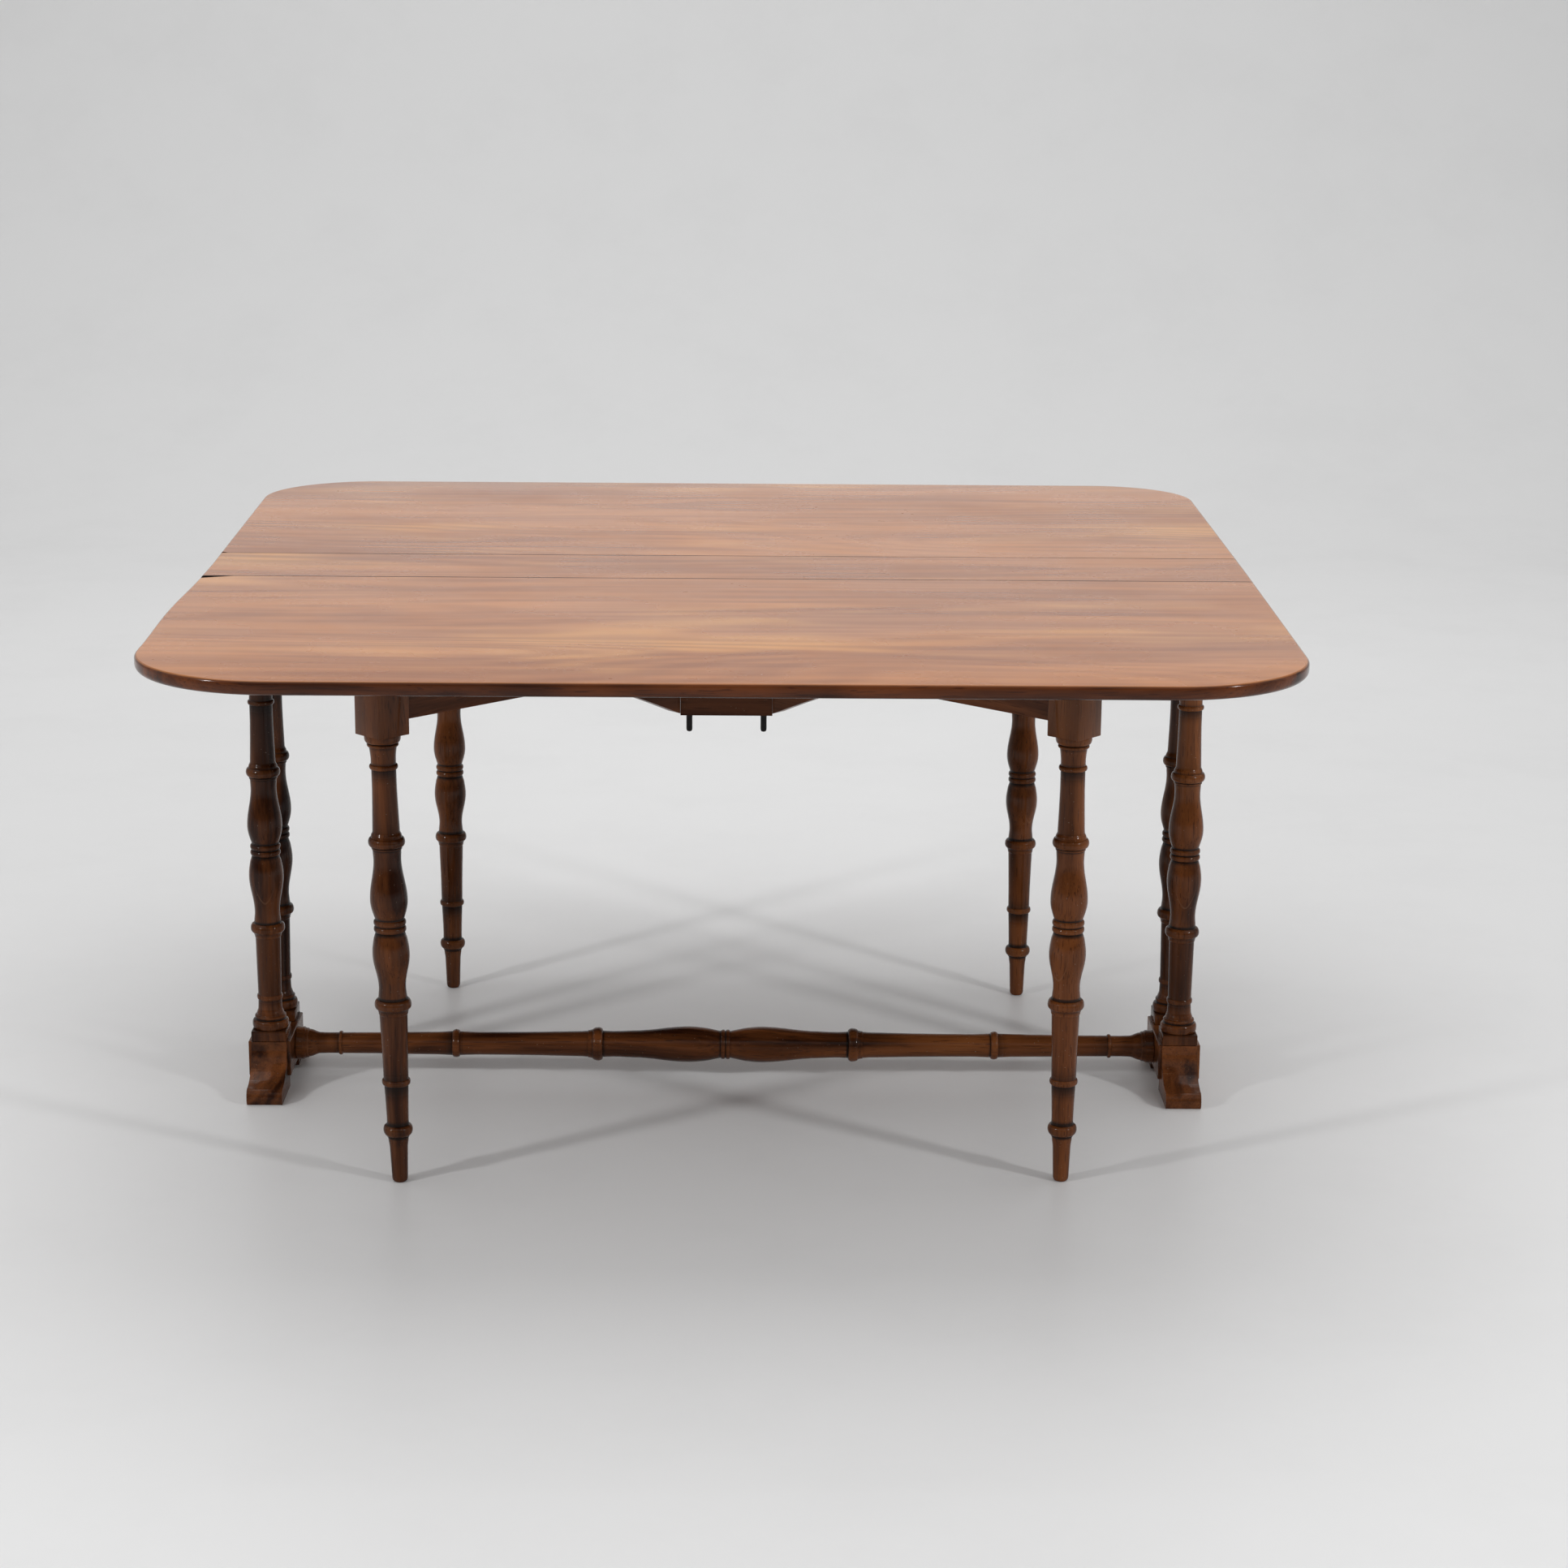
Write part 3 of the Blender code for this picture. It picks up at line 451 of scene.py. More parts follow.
def wood_figure_group():
    inputs = [("Vector", "Vector", None), ("Dark", "Color", (0.1, 0.03, 0.01, 1)),
              ("Light", "Color", (0.4, 0.2, 0.1, 1)), ("Glow", "Color", (0.6, 0.3, 0.1, 1)),
              ("Glow Amount", "Float", 0.6), ("Ribbon Scale", "Float", 9.0), ("Fibre Scale", "Float", 210.0),
              ("Contrast", "Float", 1.0), ("Pore Depth", "Float", 0.4)]
    outputs = [("Color", "Color"), ("Fibre", "Float"), ("Pores", "Float")]
    return node_group("wood_figure", inputs, outputs, draw_wood_figure)


def scratch_lines(pen, vector, angle, stretch, low, high):
    """Thin straight scratches in one direction, from noise drawn out along them."""
    turned = pen.node("ShaderNodeMapping", Vector=vector, Rotation=(0.0, 0.0, angle),
                      Scale=(1.0, stretch, 1.0))
    return pen.ramp(pen.noise(turned.outputs["Vector"], 9.0, 1.0, 0.3), low, high)


def draw_surface_wear(pen, given, out):
    """Fine scratches, soft smudges and small specks, as masks between 0 and 1."""
    vector = given["Vector"]
    first = scratch_lines(pen, vector, radians(62), 70.0, 0.755, 0.775)
    second = scratch_lines(pen, vector, radians(-38), 90.0, 0.765, 0.785)
    lines = pen.math("ADD", first, second, clamp=True)
    sparse = pen.ramp(pen.noise(vector, 3.5, 2.0), 0.46, 0.60)
    kept = pen.math("MULTIPLY", pen.math("MULTIPLY", lines, sparse), given["Scratch Density"])
    pen.link(kept, out["Scratches"])
    pen.link(pen.ramp(pen.noise(vector, 5.0, 4.0, 0.6), 0.35, 0.75), out["Smudges"])
    pen.link(pen.ramp(pen.noise(vector, 420.0, 1.0), 0.74, 0.79), out["Specks"])


def surface_wear_group():
    inputs = [("Vector", "Vector", None), ("Scratch Density", "Float", 0.5)]
    outputs = [("Scratches", "Float"), ("Smudges", "Float"), ("Specks", "Float")]
    return node_group("surface_wear", inputs, outputs, draw_surface_wear)


def draw_board_zones(pen, given, out):
    """Masks of a level board: its level faces, its upper arris, and the grime along the two seams."""
    upright = pen.node("ShaderNodeSeparateXYZ", Vector=given["Normal"]).outputs["Z"]
    pen.link(pen.ramp(upright, 0.86, 0.985), out["Level"])
    not_level = pen.math("SUBTRACT", 1.0, pen.ramp(upright, 0.93, 0.995))
    pen.link(pen.math("MULTIPLY", pen.ramp(upright, 0.55, 0.85), not_level), out["Arris"])
    across = pen.node("ShaderNodeSeparateXYZ", Vector=given["Vector"]).outputs["Y"]
    off_seam = pen.math("ABSOLUTE", pen.math("SUBTRACT", pen.math("ABSOLUTE", across), given["Seam"]))
    patchy = pen.noise(pen.vector_math("MULTIPLY", given["Vector"], (1.0, 3.0, 1.0)), 4.0, 4.0, 0.6)
    width = pen.math("MULTIPLY", given["Grime Width"], pen.ramp(patchy, 0.30, 0.65, 0.55, 1.35))
    clear = pen.ramp(pen.math("DIVIDE", off_seam, width), 0.75, 1.25)
    pen.link(pen.math("SUBTRACT", 1.0, clear), out["Grime"])


def board_zones_group():
    inputs = [("Normal", "Vector", None), ("Vector", "Vector", None), ("Seam", "Float", 0.086),
              ("Grime Width", "Float", 0.0016)]
    outputs = [("Level", "Float"), ("Arris", "Float"), ("Grime", "Float")]
    return node_group("board_zones", inputs, outputs, draw_board_zones)


def made_once(fill):
    """Turns a function that fills a material's nodes into one that makes each named material once."""

    def material_named(name, *details):
        if name in bpy.data.materials:
            return bpy.data.materials[name]
        material = bpy.data.materials.new(name)
        material.use_nodes = True
        fill(NodePen(material.node_tree), material.node_tree.nodes["Principled BSDF"], *details)
        return material

    return material_named


def add_group(pen, tree, **values):
    """A group node; its keyword values are sockets, numbers or RGB colours."""
    node = pen.node("ShaderNodeGroup")
    node.node_tree = tree
    for key, value in values.items():
        socket = node.inputs[key.replace("_", " ")]
        is_colour = socket.type == "RGBA" and not isinstance(value, bpy.types.NodeSocket)
        pen.set_or_link(socket, (*value, 1.0) if is_colour else value)
    return node.outputs


def grain_vector(pen, rotation, offset=(0, 0, 0)):
    """The piece's own coordinates, turned so that the grain runs along X."""
    coordinates = pen.node("ShaderNodeTexCoord").outputs
    mapping = pen.node("ShaderNodeMapping", Vector=coordinates["Object"], Rotation=rotation, Location=offset)
    return mapping.outputs["Vector"], coordinates


def bump(pen, shader, height, strength, distance):
    node = pen.node("ShaderNodeBump", Height=height, Strength=strength, Distance=distance)
    pen.feed(shader, Normal=node.outputs["Normal"])


GRAIN_ALONG = {"X": (0.0, 0.0, 0.0), "Y": (0.0, 0.0, -pi / 2), "Z": (0.0, pi / 2, 0.0)}
# Near black for the turnings' grooves: painted shade and grime.
GROOVE_SHADE_AND_GRIME = (0.006, 0.0028, 0.0018, 1.0)
SEAM_GRIME = (0.012, 0.0055, 0.0035, 1.0)
PALE_SPECK = (0.35, 0.28, 0.22, 1.0)
PALE_SCRATCH = (0.30, 0.16, 0.09, 1.0)
DARK_SCRATCH = (0.16, 0.062, 0.028, 1.0)
RAW_WOOD = (0.014, 0.006, 0.004)


def masked(pen, mask, share, below, above):
    """A colour laid over another where a mask is, at most by a share."""
    return pen.mix(pen.math("MULTIPLY", mask, share), below, above)


@made_once
def polished_wood(pen, shader, finish, kind, along, ribbon_scale, roughness, offset=(0, 0, 0)):
    """French-polished mahogany; a turned piece gets painted shade and grime in its crevices, and rubbed wear
    with a painted highlight on its crests.
    """
    joinery = kind == "joinery"
    vector, coordinates = grain_vector(pen, GRAIN_ALONG[along], offset)
    figure = add_group(pen, wood_figure_group(), Vector=vector,
                       Dark=finish.frame_dark if joinery else finish.turned_dark,
                       Light=finish.frame_light if joinery else finish.turned_light,
                       Glow=finish.turned_glow, Glow_Amount=0.25 if joinery else 0.55,
                       Ribbon_Scale=ribbon_scale, Fibre_Scale=250.0, Contrast=1.55, Pore_Depth=0.55)
    wear = add_group(pen, surface_wear_group(), Vector=coordinates["Object"], Scratch_Density=0.7)
    colour = masked(pen, wear["Specks"], 0.35, figure["Color"], PALE_SPECK)
    colour = masked(pen, wear["Scratches"], 0.5, colour, PALE_SCRATCH)
    rough = pen.math("MULTIPLY_ADD", figure["Pores"], 0.10, pen.math("MULTIPLY", wear["Smudges"], 0.10))
    if kind == "turned":
        relief = pen.node("ShaderNodeAttribute")
        relief.attribute_name = "relief"
        crevice = pen.ramp(relief.outputs["Fac"], 0.44, 0.14)
        crest = pen.ramp(relief.outputs["Fac"], 0.60, 1.0)
        # Painted shade and grime: the grooves of a turning go near black as the relief falls.
        colour = masked(pen, crevice, 0.90, colour, GROOVE_SHADE_AND_GRIME)
        # Rubbed wear and a painted highlight: the crests of a turning are made a little lighter and more
        # golden.
        colour = masked(pen, crest, 0.10, colour, (*finish.turned_glow, 1.0))
        rough = pen.math("MULTIPLY_ADD", crevice, 0.25, rough)
    pen.feed(shader, Base_Color=colour, Roughness=pen.math("ADD", rough, roughness), Specular_IOR_Level=0.06,
             Coat_Weight=0.10 if joinery else 0.20, Coat_Roughness=0.05)
    height = pen.math("SUBTRACT", pen.math("MULTIPLY", figure["Fibre"], 0.35),
                      pen.math("MULTIPLY", figure["Pores"], 0.6))
    bump(pen, shader, height, 0.22, 0.0003)


@made_once
def board_wood(pen, shader, finish, offset):
    """The top's polish: golden brown on the level face, painted lighter there as a painted reflection of the
    bright backdrop; dark on the rim; rubbed pale with a painted highlight on the arris.
    """
    vector, coordinates = grain_vector(pen, GRAIN_ALONG["X"], offset)
    face = add_group(pen, wood_figure_group(), Vector=vector, Dark=finish.top_sheen_dark, Light=finish.top_sheen_light,
                     Glow=finish.top_sheen_glow, Glow_Amount=0.75, Ribbon_Scale=8.0, Fibre_Scale=42.0,
                     Contrast=1.55, Pore_Depth=0.03)
    rim = add_group(pen, wood_figure_group(), Vector=vector, Dark=finish.rim_dark, Light=finish.rim_light,
                    Glow=finish.turned_light, Glow_Amount=0.6, Ribbon_Scale=24.0, Fibre_Scale=210.0,
                    Contrast=1.8, Pore_Depth=0.5)
    zones = add_group(pen, board_zones_group(), Normal=coordinates["Normal"], Vector=coordinates["Object"],
                      Seam=SEAM_Y)
    wear = add_group(pen, surface_wear_group(), Vector=coordinates["Object"], Scratch_Density=0.10)
    level = zones["Level"]
    # Level faces take the top's colours, which hold a painted reflection of the bright backdrop; the rim
    # keeps the wood's own dark colour.
    colour = pen.mix(level, rim["Color"], face["Color"])
    # Pale line on the upper arris: rubbed wear plus a painted highlight where the rounded edge catches the
    # light.
    colour = masked(pen, zones["Arris"], 0.45, colour, (*finish.top_sheen_light, 1.0))
    colour = masked(pen, wear["Scratches"], 0.6, colour, DARK_SCRATCH)
    colour = masked(pen, zones["Grime"], 0.93, colour, SEAM_GRIME)
    rough = pen.math("MULTIPLY_ADD", wear["Smudges"], 0.09, pen.math("MULTIPLY_ADD", level, 0.13, 0.12))
    clean = pen.math("SUBTRACT", 1.0, zones["Grime"])
    pen.feed(shader, Base_Color=colour, Roughness=pen.math("MULTIPLY_ADD", wear["Scratches"], 0.15, rough),
             Coat_Weight=pen.math("MULTIPLY", pen.math("MULTIPLY_ADD", level, 0.30, 0.08), clean),
             Coat_Roughness=0.10, Specular_IOR_Level=0.20)
    bump(pen, shader, face["Fibre"], 0.02, 0.0003)


@made_once
def bare_wood(pen, shader, colour):
    """Old raw wood inside a chip, dark with grime."""
    vector, _ = grain_vector(pen, GRAIN_ALONG["X"])
    figure = add_group(pen, wood_figure_group(), Vector=vector, Dark=[c * 0.4 for c in colour], Light=colour,
                       Glow=colour, Ribbon_Scale=60.0, Contrast=1.6, Pore_Depth=0.6)
    pen.feed(shader, Base_Color=figure["Color"], Specular_IOR_Level=0.15,
             Roughness=pen.math("MULTIPLY_ADD", figure["Fibre"], 0.2, 0.65))
    bump(pen, shader, figure["Fibre"], 0.6, 0.0006)


@made_once
def worn_metal(pen, shader, colour, metallic, roughness, tarnish):
    """Old metal with mottled tarnish and fine pitting."""
    vector = pen.node("ShaderNodeTexCoord").outputs["Object"]
    mottled = pen.ramp(pen.noise(vector, 160.0, 4.0, 0.6), 0.35, 0.7)
    dull = (*[c * tarnish for c in colour], 1.0)
    pen.feed(shader, Base_Color=pen.mix(mottled, (*colour, 1.0), dull), Metallic=metallic,
             Roughness=pen.math("MULTIPLY_ADD", mottled, 0.22, roughness))
    bump(pen, shader, pen.noise(vector, 900.0, 2.0), 0.3, 0.0002)


# ------------------------------------------------------------------ turned profiles

class Turning:
    """A profile drawn upwards along a turned piece, as radius against height."""

    def __init__(self, height, radius):
        self.points = [(radius, height)]

    def to(self, height, radius):
        self.points.append((radius, height))
        return self

    def ease(self, height, radius, steps=8):
        """A smooth S-curve to a new radius, level at both ends."""
        r0, z0 = self.points[-1]
        for i in range(1, steps + 1):
            t = i / steps
            self.points.append((r0 + (radius - r0) * (1 - cos(pi * t)) / 2, z0 + (height - z0) * t))
        return self

    def swell(self, height, radius, steps=8):
        """A curve that leaves at a slope and ends level at a new radius."""
        r0, z0 = self.points[-1]
        for i in range(1, steps + 1):
            t = i / steps
            self.points.append((r0 + (radius - r0) * sin(pi / 2 * t), z0 + (height - z0) * t))
        return self

    def fall(self, height, radius, steps=8):
        """A curve that leaves level and ends at a slope."""
        r0, z0 = self.points[-1]
        for i in range(1, steps + 1):
            t = i / steps
            self.points.append((r0 + (radius - r0) * (1 - cos(pi / 2 * t)), z0 + (height - z0) * t))
        return self

    def bead(self, height, radius, end_radius=None, middle=0.5, steps=10):
        """A round bead up to a height; middle moves its widest place towards either end."""
        r0, z0 = self.points[-1]
        r1 = r0 if end_radius is None else end_radius
        for i in range(1, steps + 1):
            a = pi * i / steps
            t = (1 - cos(a)) / 2
            shifted = t * middle / 0.5 if t < 0.5 else middle + (t - 0.5) * (1 - middle) / 0.5
            base = r0 + (r1 - r0) * shifted
            self.points.append((base + (radius - base) * sin(a), z0 + (height - z0) * shifted))
        return self


def draw_shaft(pen, bead_height, lower_radius):
    """The middle that legs and columns share: lower bead, two bellies about a double ring, upper bead."""
    pen.to(bead_height - 0.0125, lower_radius).to(bead_height - 0.0115, lower_radius + 0.0008)
    pen.fall(bead_height - 0.0050, 0.0200, 4)
    pen.bead(bead_height + 0.0075, 0.0231, 0.0190, 0.42)
    pen.to(bead_height + 0.0078, 0.0180).ease(bead_height + 0.0235, 0.0169)
    pen.ease(0.3015, 0.0232, 12).fall(0.3225, 0.0207).to(0.3298, 0.0182).to(0.3304, 0.0181)
    pen.bead(0.3378, 0.0203, None, 0.5, 8).to(0.3384, 0.0180).to(0.3388, 0.0180)
    pen.bead(0.3462, 0.0203, None, 0.5, 8).to(0.3470, 0.0179).to(0.3490, 0.0187)
    pen.swell(0.3715, 0.0234, 10).ease(0.4235, 0.0172, 14).ease(0.4365, 0.0178, 4)
    pen.to(0.4372, 0.0189).to(0.4392, 0.0190).to(0.4398, 0.0182)
    pen.bead(0.4520, 0.0229, 0.0196, 0.5).to(0.4535, 0.0192).ease(0.4600, 0.0170, 6)
    pen.to(0.4900, 0.0160).to(0.5140, 0.0154).to(0.5384, 0.0153).to(0.5388, 0.0160)
    pen.bead(0.5448, 0.0178, None, 0.5, 8).to(0.5452, 0.0155).to(0.5500, 0.0155).fall(0.5672, 0.0172, 8)
    pen.to(0.5676, 0.0182).bead(0.5714, 0.0196, None, 0.5, 8).to(0.5719, 0.0183).to(0.5724, 0.0192)
    return pen.bead(HEAD_BOTTOM + 0.003, 0.0226, 0.0215, 0.6, 12)


def leg_profile():
    pen = Turning(0.0, 0.0070).to(0.0006, 0.0082).to(0.0022, 0.0094).to(0.0050, 0.0100).to(0.0130, 0.0103)
    pen.to(0.0440, 0.0114).ease(0.0600, 0.0130, 5).to(0.0606, 0.0141).to(0.0625, 0.0143)
    pen.bead(0.0762, 0.0186, 0.0146, 0.55).to(0.0770, 0.0138).to(0.0850, 0.0138).to(0.1000, 0.0142)
    pen.to(0.1292, 0.0152).to(0.1296, 0.0160).bead(0.1370, 0.0180, 0.0163, 0.5, 8).to(0.1374, 0.0156)
    pen.to(0.1700, 0.0161)
    return draw_shaft(pen, 0.2350, 0.0176).points


def column_profile():
    pen = Turning(0.0835, 0.0224).to(0.0862, 0.0224).to(0.0870, 0.0234)
    pen.bead(0.0985, 0.0246, 0.0222, 0.55).to(0.0992, 0.0204).to(0.1005, 0.0200)
    pen.bead(0.1052, 0.0212, 0.0188, 0.5, 8).ease(0.1150, 0.0163, 6).to(0.1268, 0.0157).to(0.1271, 0.0164)
    pen.bead(0.1335, 0.0175, None, 0.5, 8).to(0.1338, 0.0158)
    return draw_shaft(pen, 0.2275, 0.0170).points


def stretcher_half(length):
    """From the stretcher's end collar to its middle; heights count inwards from the beam."""
    pen = Turning(0.0, 0.0220).to(0.0006, 0.0226).to(0.0108, 0.0225).to(0.0112, 0.0214).to(0.0128, 0.0214)
    pen.to(0.0132, 0.0208).to(0.0160, 0.0207).to(0.0165, 0.0200).fall(0.0175, 0.0192, 2)
    pen.ease(0.0330, 0.0148, 8).to(0.0440, 0.0144).to(0.0584, 0.0144).to(0.0586, 0.0152)
    pen.bead(0.0634, 0.0166, None, 0.5, 8).to(0.0636, 0.0145).to(0.1140, 0.0147).ease(0.1570, 0.0155)
    pen.to(0.1960, 0.0158).to(0.2155, 0.0166).to(0.2158, 0.0172).bead(0.2256, 0.0195, 0.0172, 0.5, 8)
    pen.to(0.2260, 0.0165).ease(0.2540, 0.0158).to(0.2940, 0.0160).to(0.3340, 0.0164).to(0.3940, 0.0176)
    pen.to(0.4030, 0.0182).to(0.4036, 0.0191).fall(0.4100, 0.0203, 4).bead(0.4236, 0.0233, 0.0190, 0.55)
    pen.to(0.4240, 0.0183).ease(0.4390, 0.0178, 4).ease(0.4750, 0.0190, 4).to(0.4930, 0.0205)
    pen.to(0.5110, 0.0227).swell(0.5430, 0.0248, 6).fall(0.5690, 0.0226, 6).to(0.5810, 0.0200)
    pen.to(0.5874, 0.0186).to(0.5876, 0.0192).bead(length - 0.0004, 0.0206, 0.0190, 0.5, 8)
    return pen.to(length, 0.0184).points


# ------------------------------------------------------------------ pieces: the top

def end_distance(top, end, y):
    """How far the top reaches along X at one end; the front leaf's end may bow outwards."""
    reach = getattr(top, end + "_reach")
    if y > 0:
        return reach + getattr(top, end + "_flare") * y
    span = top.half_depth - getattr(top, f"front_{end}_corner") - SEAM_Y
    share = min(max((-y - SEAM_Y) / span, 0), 1)
    bow = getattr(top, end + "_bow") * (1 - cos(2 * pi * share)) / 2
    return reach + getattr(top, end + "_taper") * y + bow


def corner(top, side, end, inset, steps=36):
    """The arc from an end of the top to its front or rear edge, inset all round by a distance."""
    radius = getattr(top, f"{side}_{end}_corner")
    lean = atan(getattr(top, end + ("_flare" if side == "rear" else "_taper")))
    sign = SIDES[side]
    y = sign * (top.half_depth - radius)
    x = end_distance(top, end, y - radius * sin(lean)) - radius * cos(lean)
    angles = (-lean + (sign * pi / 2 + lean) * i / steps for i in range(steps + 1))
    return [(x + (radius - inset) * cos(a), y + (radius - inset) * sin(a)) for a in angles]


def end_points(top, end, inset, steps=40):
    """One end of the top from its front edge to its rear edge, as distances from the middle."""
    front = corner(top, "front", end, inset)
    rear = corner(top, "rear", end, inset)
    start, finish = front[0][1], rear[0][1]
    ys = [start + (finish - start) * i / steps for i in range(1, steps)]
    return front[::-1] + [(end_distance(top, end, y) - inset, y) for y in ys] + rear


def top_outline(top, inset):
    left = [(-x, y) for x, y in reversed(end_points(top, "left", inset))]
    return end_points(top, "right", inset) + left


def rim_profile(settings):
    """(inset, height) from the underside, round the rim, to the upper face."""
    low, high = settings.lower_rounding, settings.upper_rounding
    points = []
    for i in range(7):
        a = pi / 2 * i / 6
        points.append((low * (1 - sin(a)), UNDERSIDE_Z + low * (1 - cos(a))))
    for i in range(7):
        a = pi / 2 * i / 6
        points.append((high * (1 - cos(a)), TOP_Z - high * (1 - sin(a))))
    return points


def whole_top(name, settings):
    rings = [[(x, y, z) for x, y in top_outline(settings, inset)] for inset, z in rim_profile(settings)]
    return loft(name, rings)


def rule_section(settings, side, radius, gap, board):
    """Section in Y and Z of the centre board, or of the space that one leaf fills."""
    axis_z = TOP_Z - RULE_FILLET - RULE_RADIUS
    high, low, far = TOP_Z + 0.01, UNDERSIDE_Z - 0.01, settings.half_depth + 0.02
    angles = [pi / 2 * i / 10 for i in range(11)]
    arc = [(SEAM_Y + radius * sin(a), axis_z + radius * cos(a)) for a in angles]
    if board == "centre":
        soft = CENTRE_ARRIS
        edge = [(SEAM_Y - soft, high), (SEAM_Y - soft, TOP_Z), (SEAM_Y, TOP_Z - soft)]
        edge = edge + arc + [(arc[-1][0], low)]
        return edge + [(-y, z) for y, z in reversed(edge)]
    lip = SEAM_Y + gap
    soft = LEAF_ARRIS
    edge = [(lip + soft, high), (lip + soft, TOP_Z), (lip, TOP_Z - soft), (lip, arc[0][1])] + arc[1:]
    edge = edge + [(arc[-1][0], low), (far, low), (far, high)]
    return [(side * y, z) for y, z in edge]


def section_block(name, section, half_length):
    across = Matrix(((0, 0, 1, 0), (1, 0, 0, 0), (0, 1, 0, 0), (0, 0, 0, 1)))
    return extruded(name, section, -half_length, half_length, across)


def recess_steps(side, of_leaf):
    """Cuts for the hinges' recesses on one side, a little larger than their plates."""
    steps = []
    for i in (1, 2, 3):
        node = f"hinge_{'front' if side < 0 else 'rear'}_{i}_{'leaf' if of_leaf else 'fixed'}"
        low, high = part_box(node)
        x = (low.x + high.x) / 2
        plate_top = UNDERSIDE_Z + HINGE_PLATE
        if of_leaf:
            cuts = [(SEAM_Y + RULE_RADIUS, HINGE_LEAF_END_Y, plate_top)]
        else:
            cuts = [(HINGE_FIXED_END_Y, SEAM_Y - 0.002, plate_top),
                    (SEAM_Y - 0.004, SEAM_Y + 0.0155, high.z + 0.0008)]
        for near, far, top in cuts:
            y0, y1 = sorted((side * near, side * far))
            block = box_mesh("recess", (x - HINGE_HALF_WIDTH, y0, UNDERSIDE_Z - CUTTER_MARGIN),
                             (x + HINGE_HALF_WIDTH, y1, top))
            steps.append(boolean_step("DIFFERENCE", block))
    return steps


def chip(x_far, x_near, y_edge, depth_y, side, depth_z):
    """A tapered splinter missing from a board's corner beside a seam."""
    outline = [(x_far, y_edge + side * 0.002), (x_near, y_edge + side * 0.0004),
               (x_far, y_edge - side * depth_y)]
    return extruded("splinter", outline, TOP_Z - depth_z, TOP_Z + CUTTER_MARGIN, Matrix.Identity(4))


class GATELEG_OT_top(bpy.types.Operator):
    """Build the centre board and both leaves with their rule joints"""

    bl_idname = "gateleg.top"
    bl_label = "Top boards"

    def execute(self, context):
        settings = context.scene.gateleg_top
        left = -settings.left_reach
        splinters = {"leaf_front": chip(left - 0.01, left + 0.048, -SEAM_Y, 0.023, 1, 0.012),
                     "leaf_rear": chip(left - 0.01, left + 0.011, SEAM_Y, 0.018, -1, 0.007)}
        cuts = {"centre_board": recess_steps(-1, False) + recess_steps(1, False),
                "leaf_front": recess_steps(-1, True), "leaf_rear": recess_steps(1, True)}
        sections = {"centre_board": rule_section(settings, 1, RULE_RADIUS, 0, "centre"),
                    "leaf_front": rule_section(settings, -1, COVE_RADIUS, settings.seam_gap, "leaf"),
                    "leaf_rear": rule_section(settings, 1, COVE_RADIUS, settings.seam_gap, "leaf")}
        grain_offsets = {"centre_board": (0.37, 0.11, 0.0), "leaf_front": (0.0, 0.0, 0.0),
                         "leaf_rear": (1.7, 0.4, 0.3)}
        for node, section in sections.items():
            block = section_block(node + "_section", section, settings.right_reach + 0.05)
            steps = [boolean_step("INTERSECT", block)] + cuts[node]
            if node in splinters:
                steps.append(boolean_step("DIFFERENCE", splinters[node]))
            mesh = smooth(with_modifiers("board_" + node, whole_top(node, settings), steps), 28)
            material = board_wood("polish_" + node, context.scene.gateleg_finish, grain_offsets[node])
            piece = add_piece("board_" + node, mesh, material, [node])
            darken_chips(piece)
        return {"FINISHED"}


def darken_chips(piece):
    """Raw wood on the small faces inside a chip, and on the hidden walls of the rule joint."""
    piece.data.materials.append(bare_wood("raw_wood", RAW_WOOD))
    for face in piece.data.polygons:
        near_seam = abs(abs(face.center.y) - SEAM_Y) < 0.014
        sunk = UNDERSIDE_Z + 0.0010 < face.center.z < TOP_Z - 0.0007
        on_rim = abs(face.normal.x) > 0.45
        if near_seam and sunk and not on_rim:
            face.material_index = 1


# ------------------------------------------------------------------ pieces: turnings

def mark_relief(mesh, profile, end):
    """Stores on each point of a turned mesh how far it lies in a groove (0) or on a crest (1)."""

    def radius_at(z):
        for (r0, z0), (r1, z1) in zip(profile, profile[1:]):
            if z0 <= z <= z1 and z1 > z0:
                return r0 + (r1 - r0) * (z - z0) / (z1 - z0)
        return profile[0][0] if z < profile[0][1] else profile[-1][0]

    low, high = profile[0][1], min(profile[-1][1], end)
    table = []
    for i in range(RELIEF_SAMPLES + 1):
        z = low + (high - low) * i / RELIEF_SAMPLES
        around = [radius_at(z + RELIEF_REACH * (k - 6) / 6) for k in range(13)]
        lift = radius_at(z) - sum(around) / len(around)
        table.append(min(max(0.5 + lift / RELIEF_SPAN, 0.0), 1.0))
    relief = mesh.attributes.new("relief", "FLOAT", "POINT")
    for vertex, value in zip(mesh.vertices, relief.data):
        z = vertex.co.z
        if low <= z <= high:
            value.value = table[int((z - low) / (high - low) * RELIEF_SAMPLES)]
        else:
            # Points below the turned profile, on a column's plinth, get a low value: a little painted shade
            # under the torus; the heads stay neutral.
            value.value = 0.40 if z < low + 0.003 else 0.5


def square_block(name, settings, low, high):
    """A square head or plinth on the Z axis with softened edges."""
    half = settings.head_side / 2
    blank = box_mesh(name, (-half, -half, low), (half, half, high))
    return with_modifiers(name, blank, [bevel_step(settings.head_chamfer, 2)])


def join_blocks(name, turned, blocks):
    return smooth(with_modifiers(name, turned, [boolean_step("UNION", block) for block in blocks]), 30)


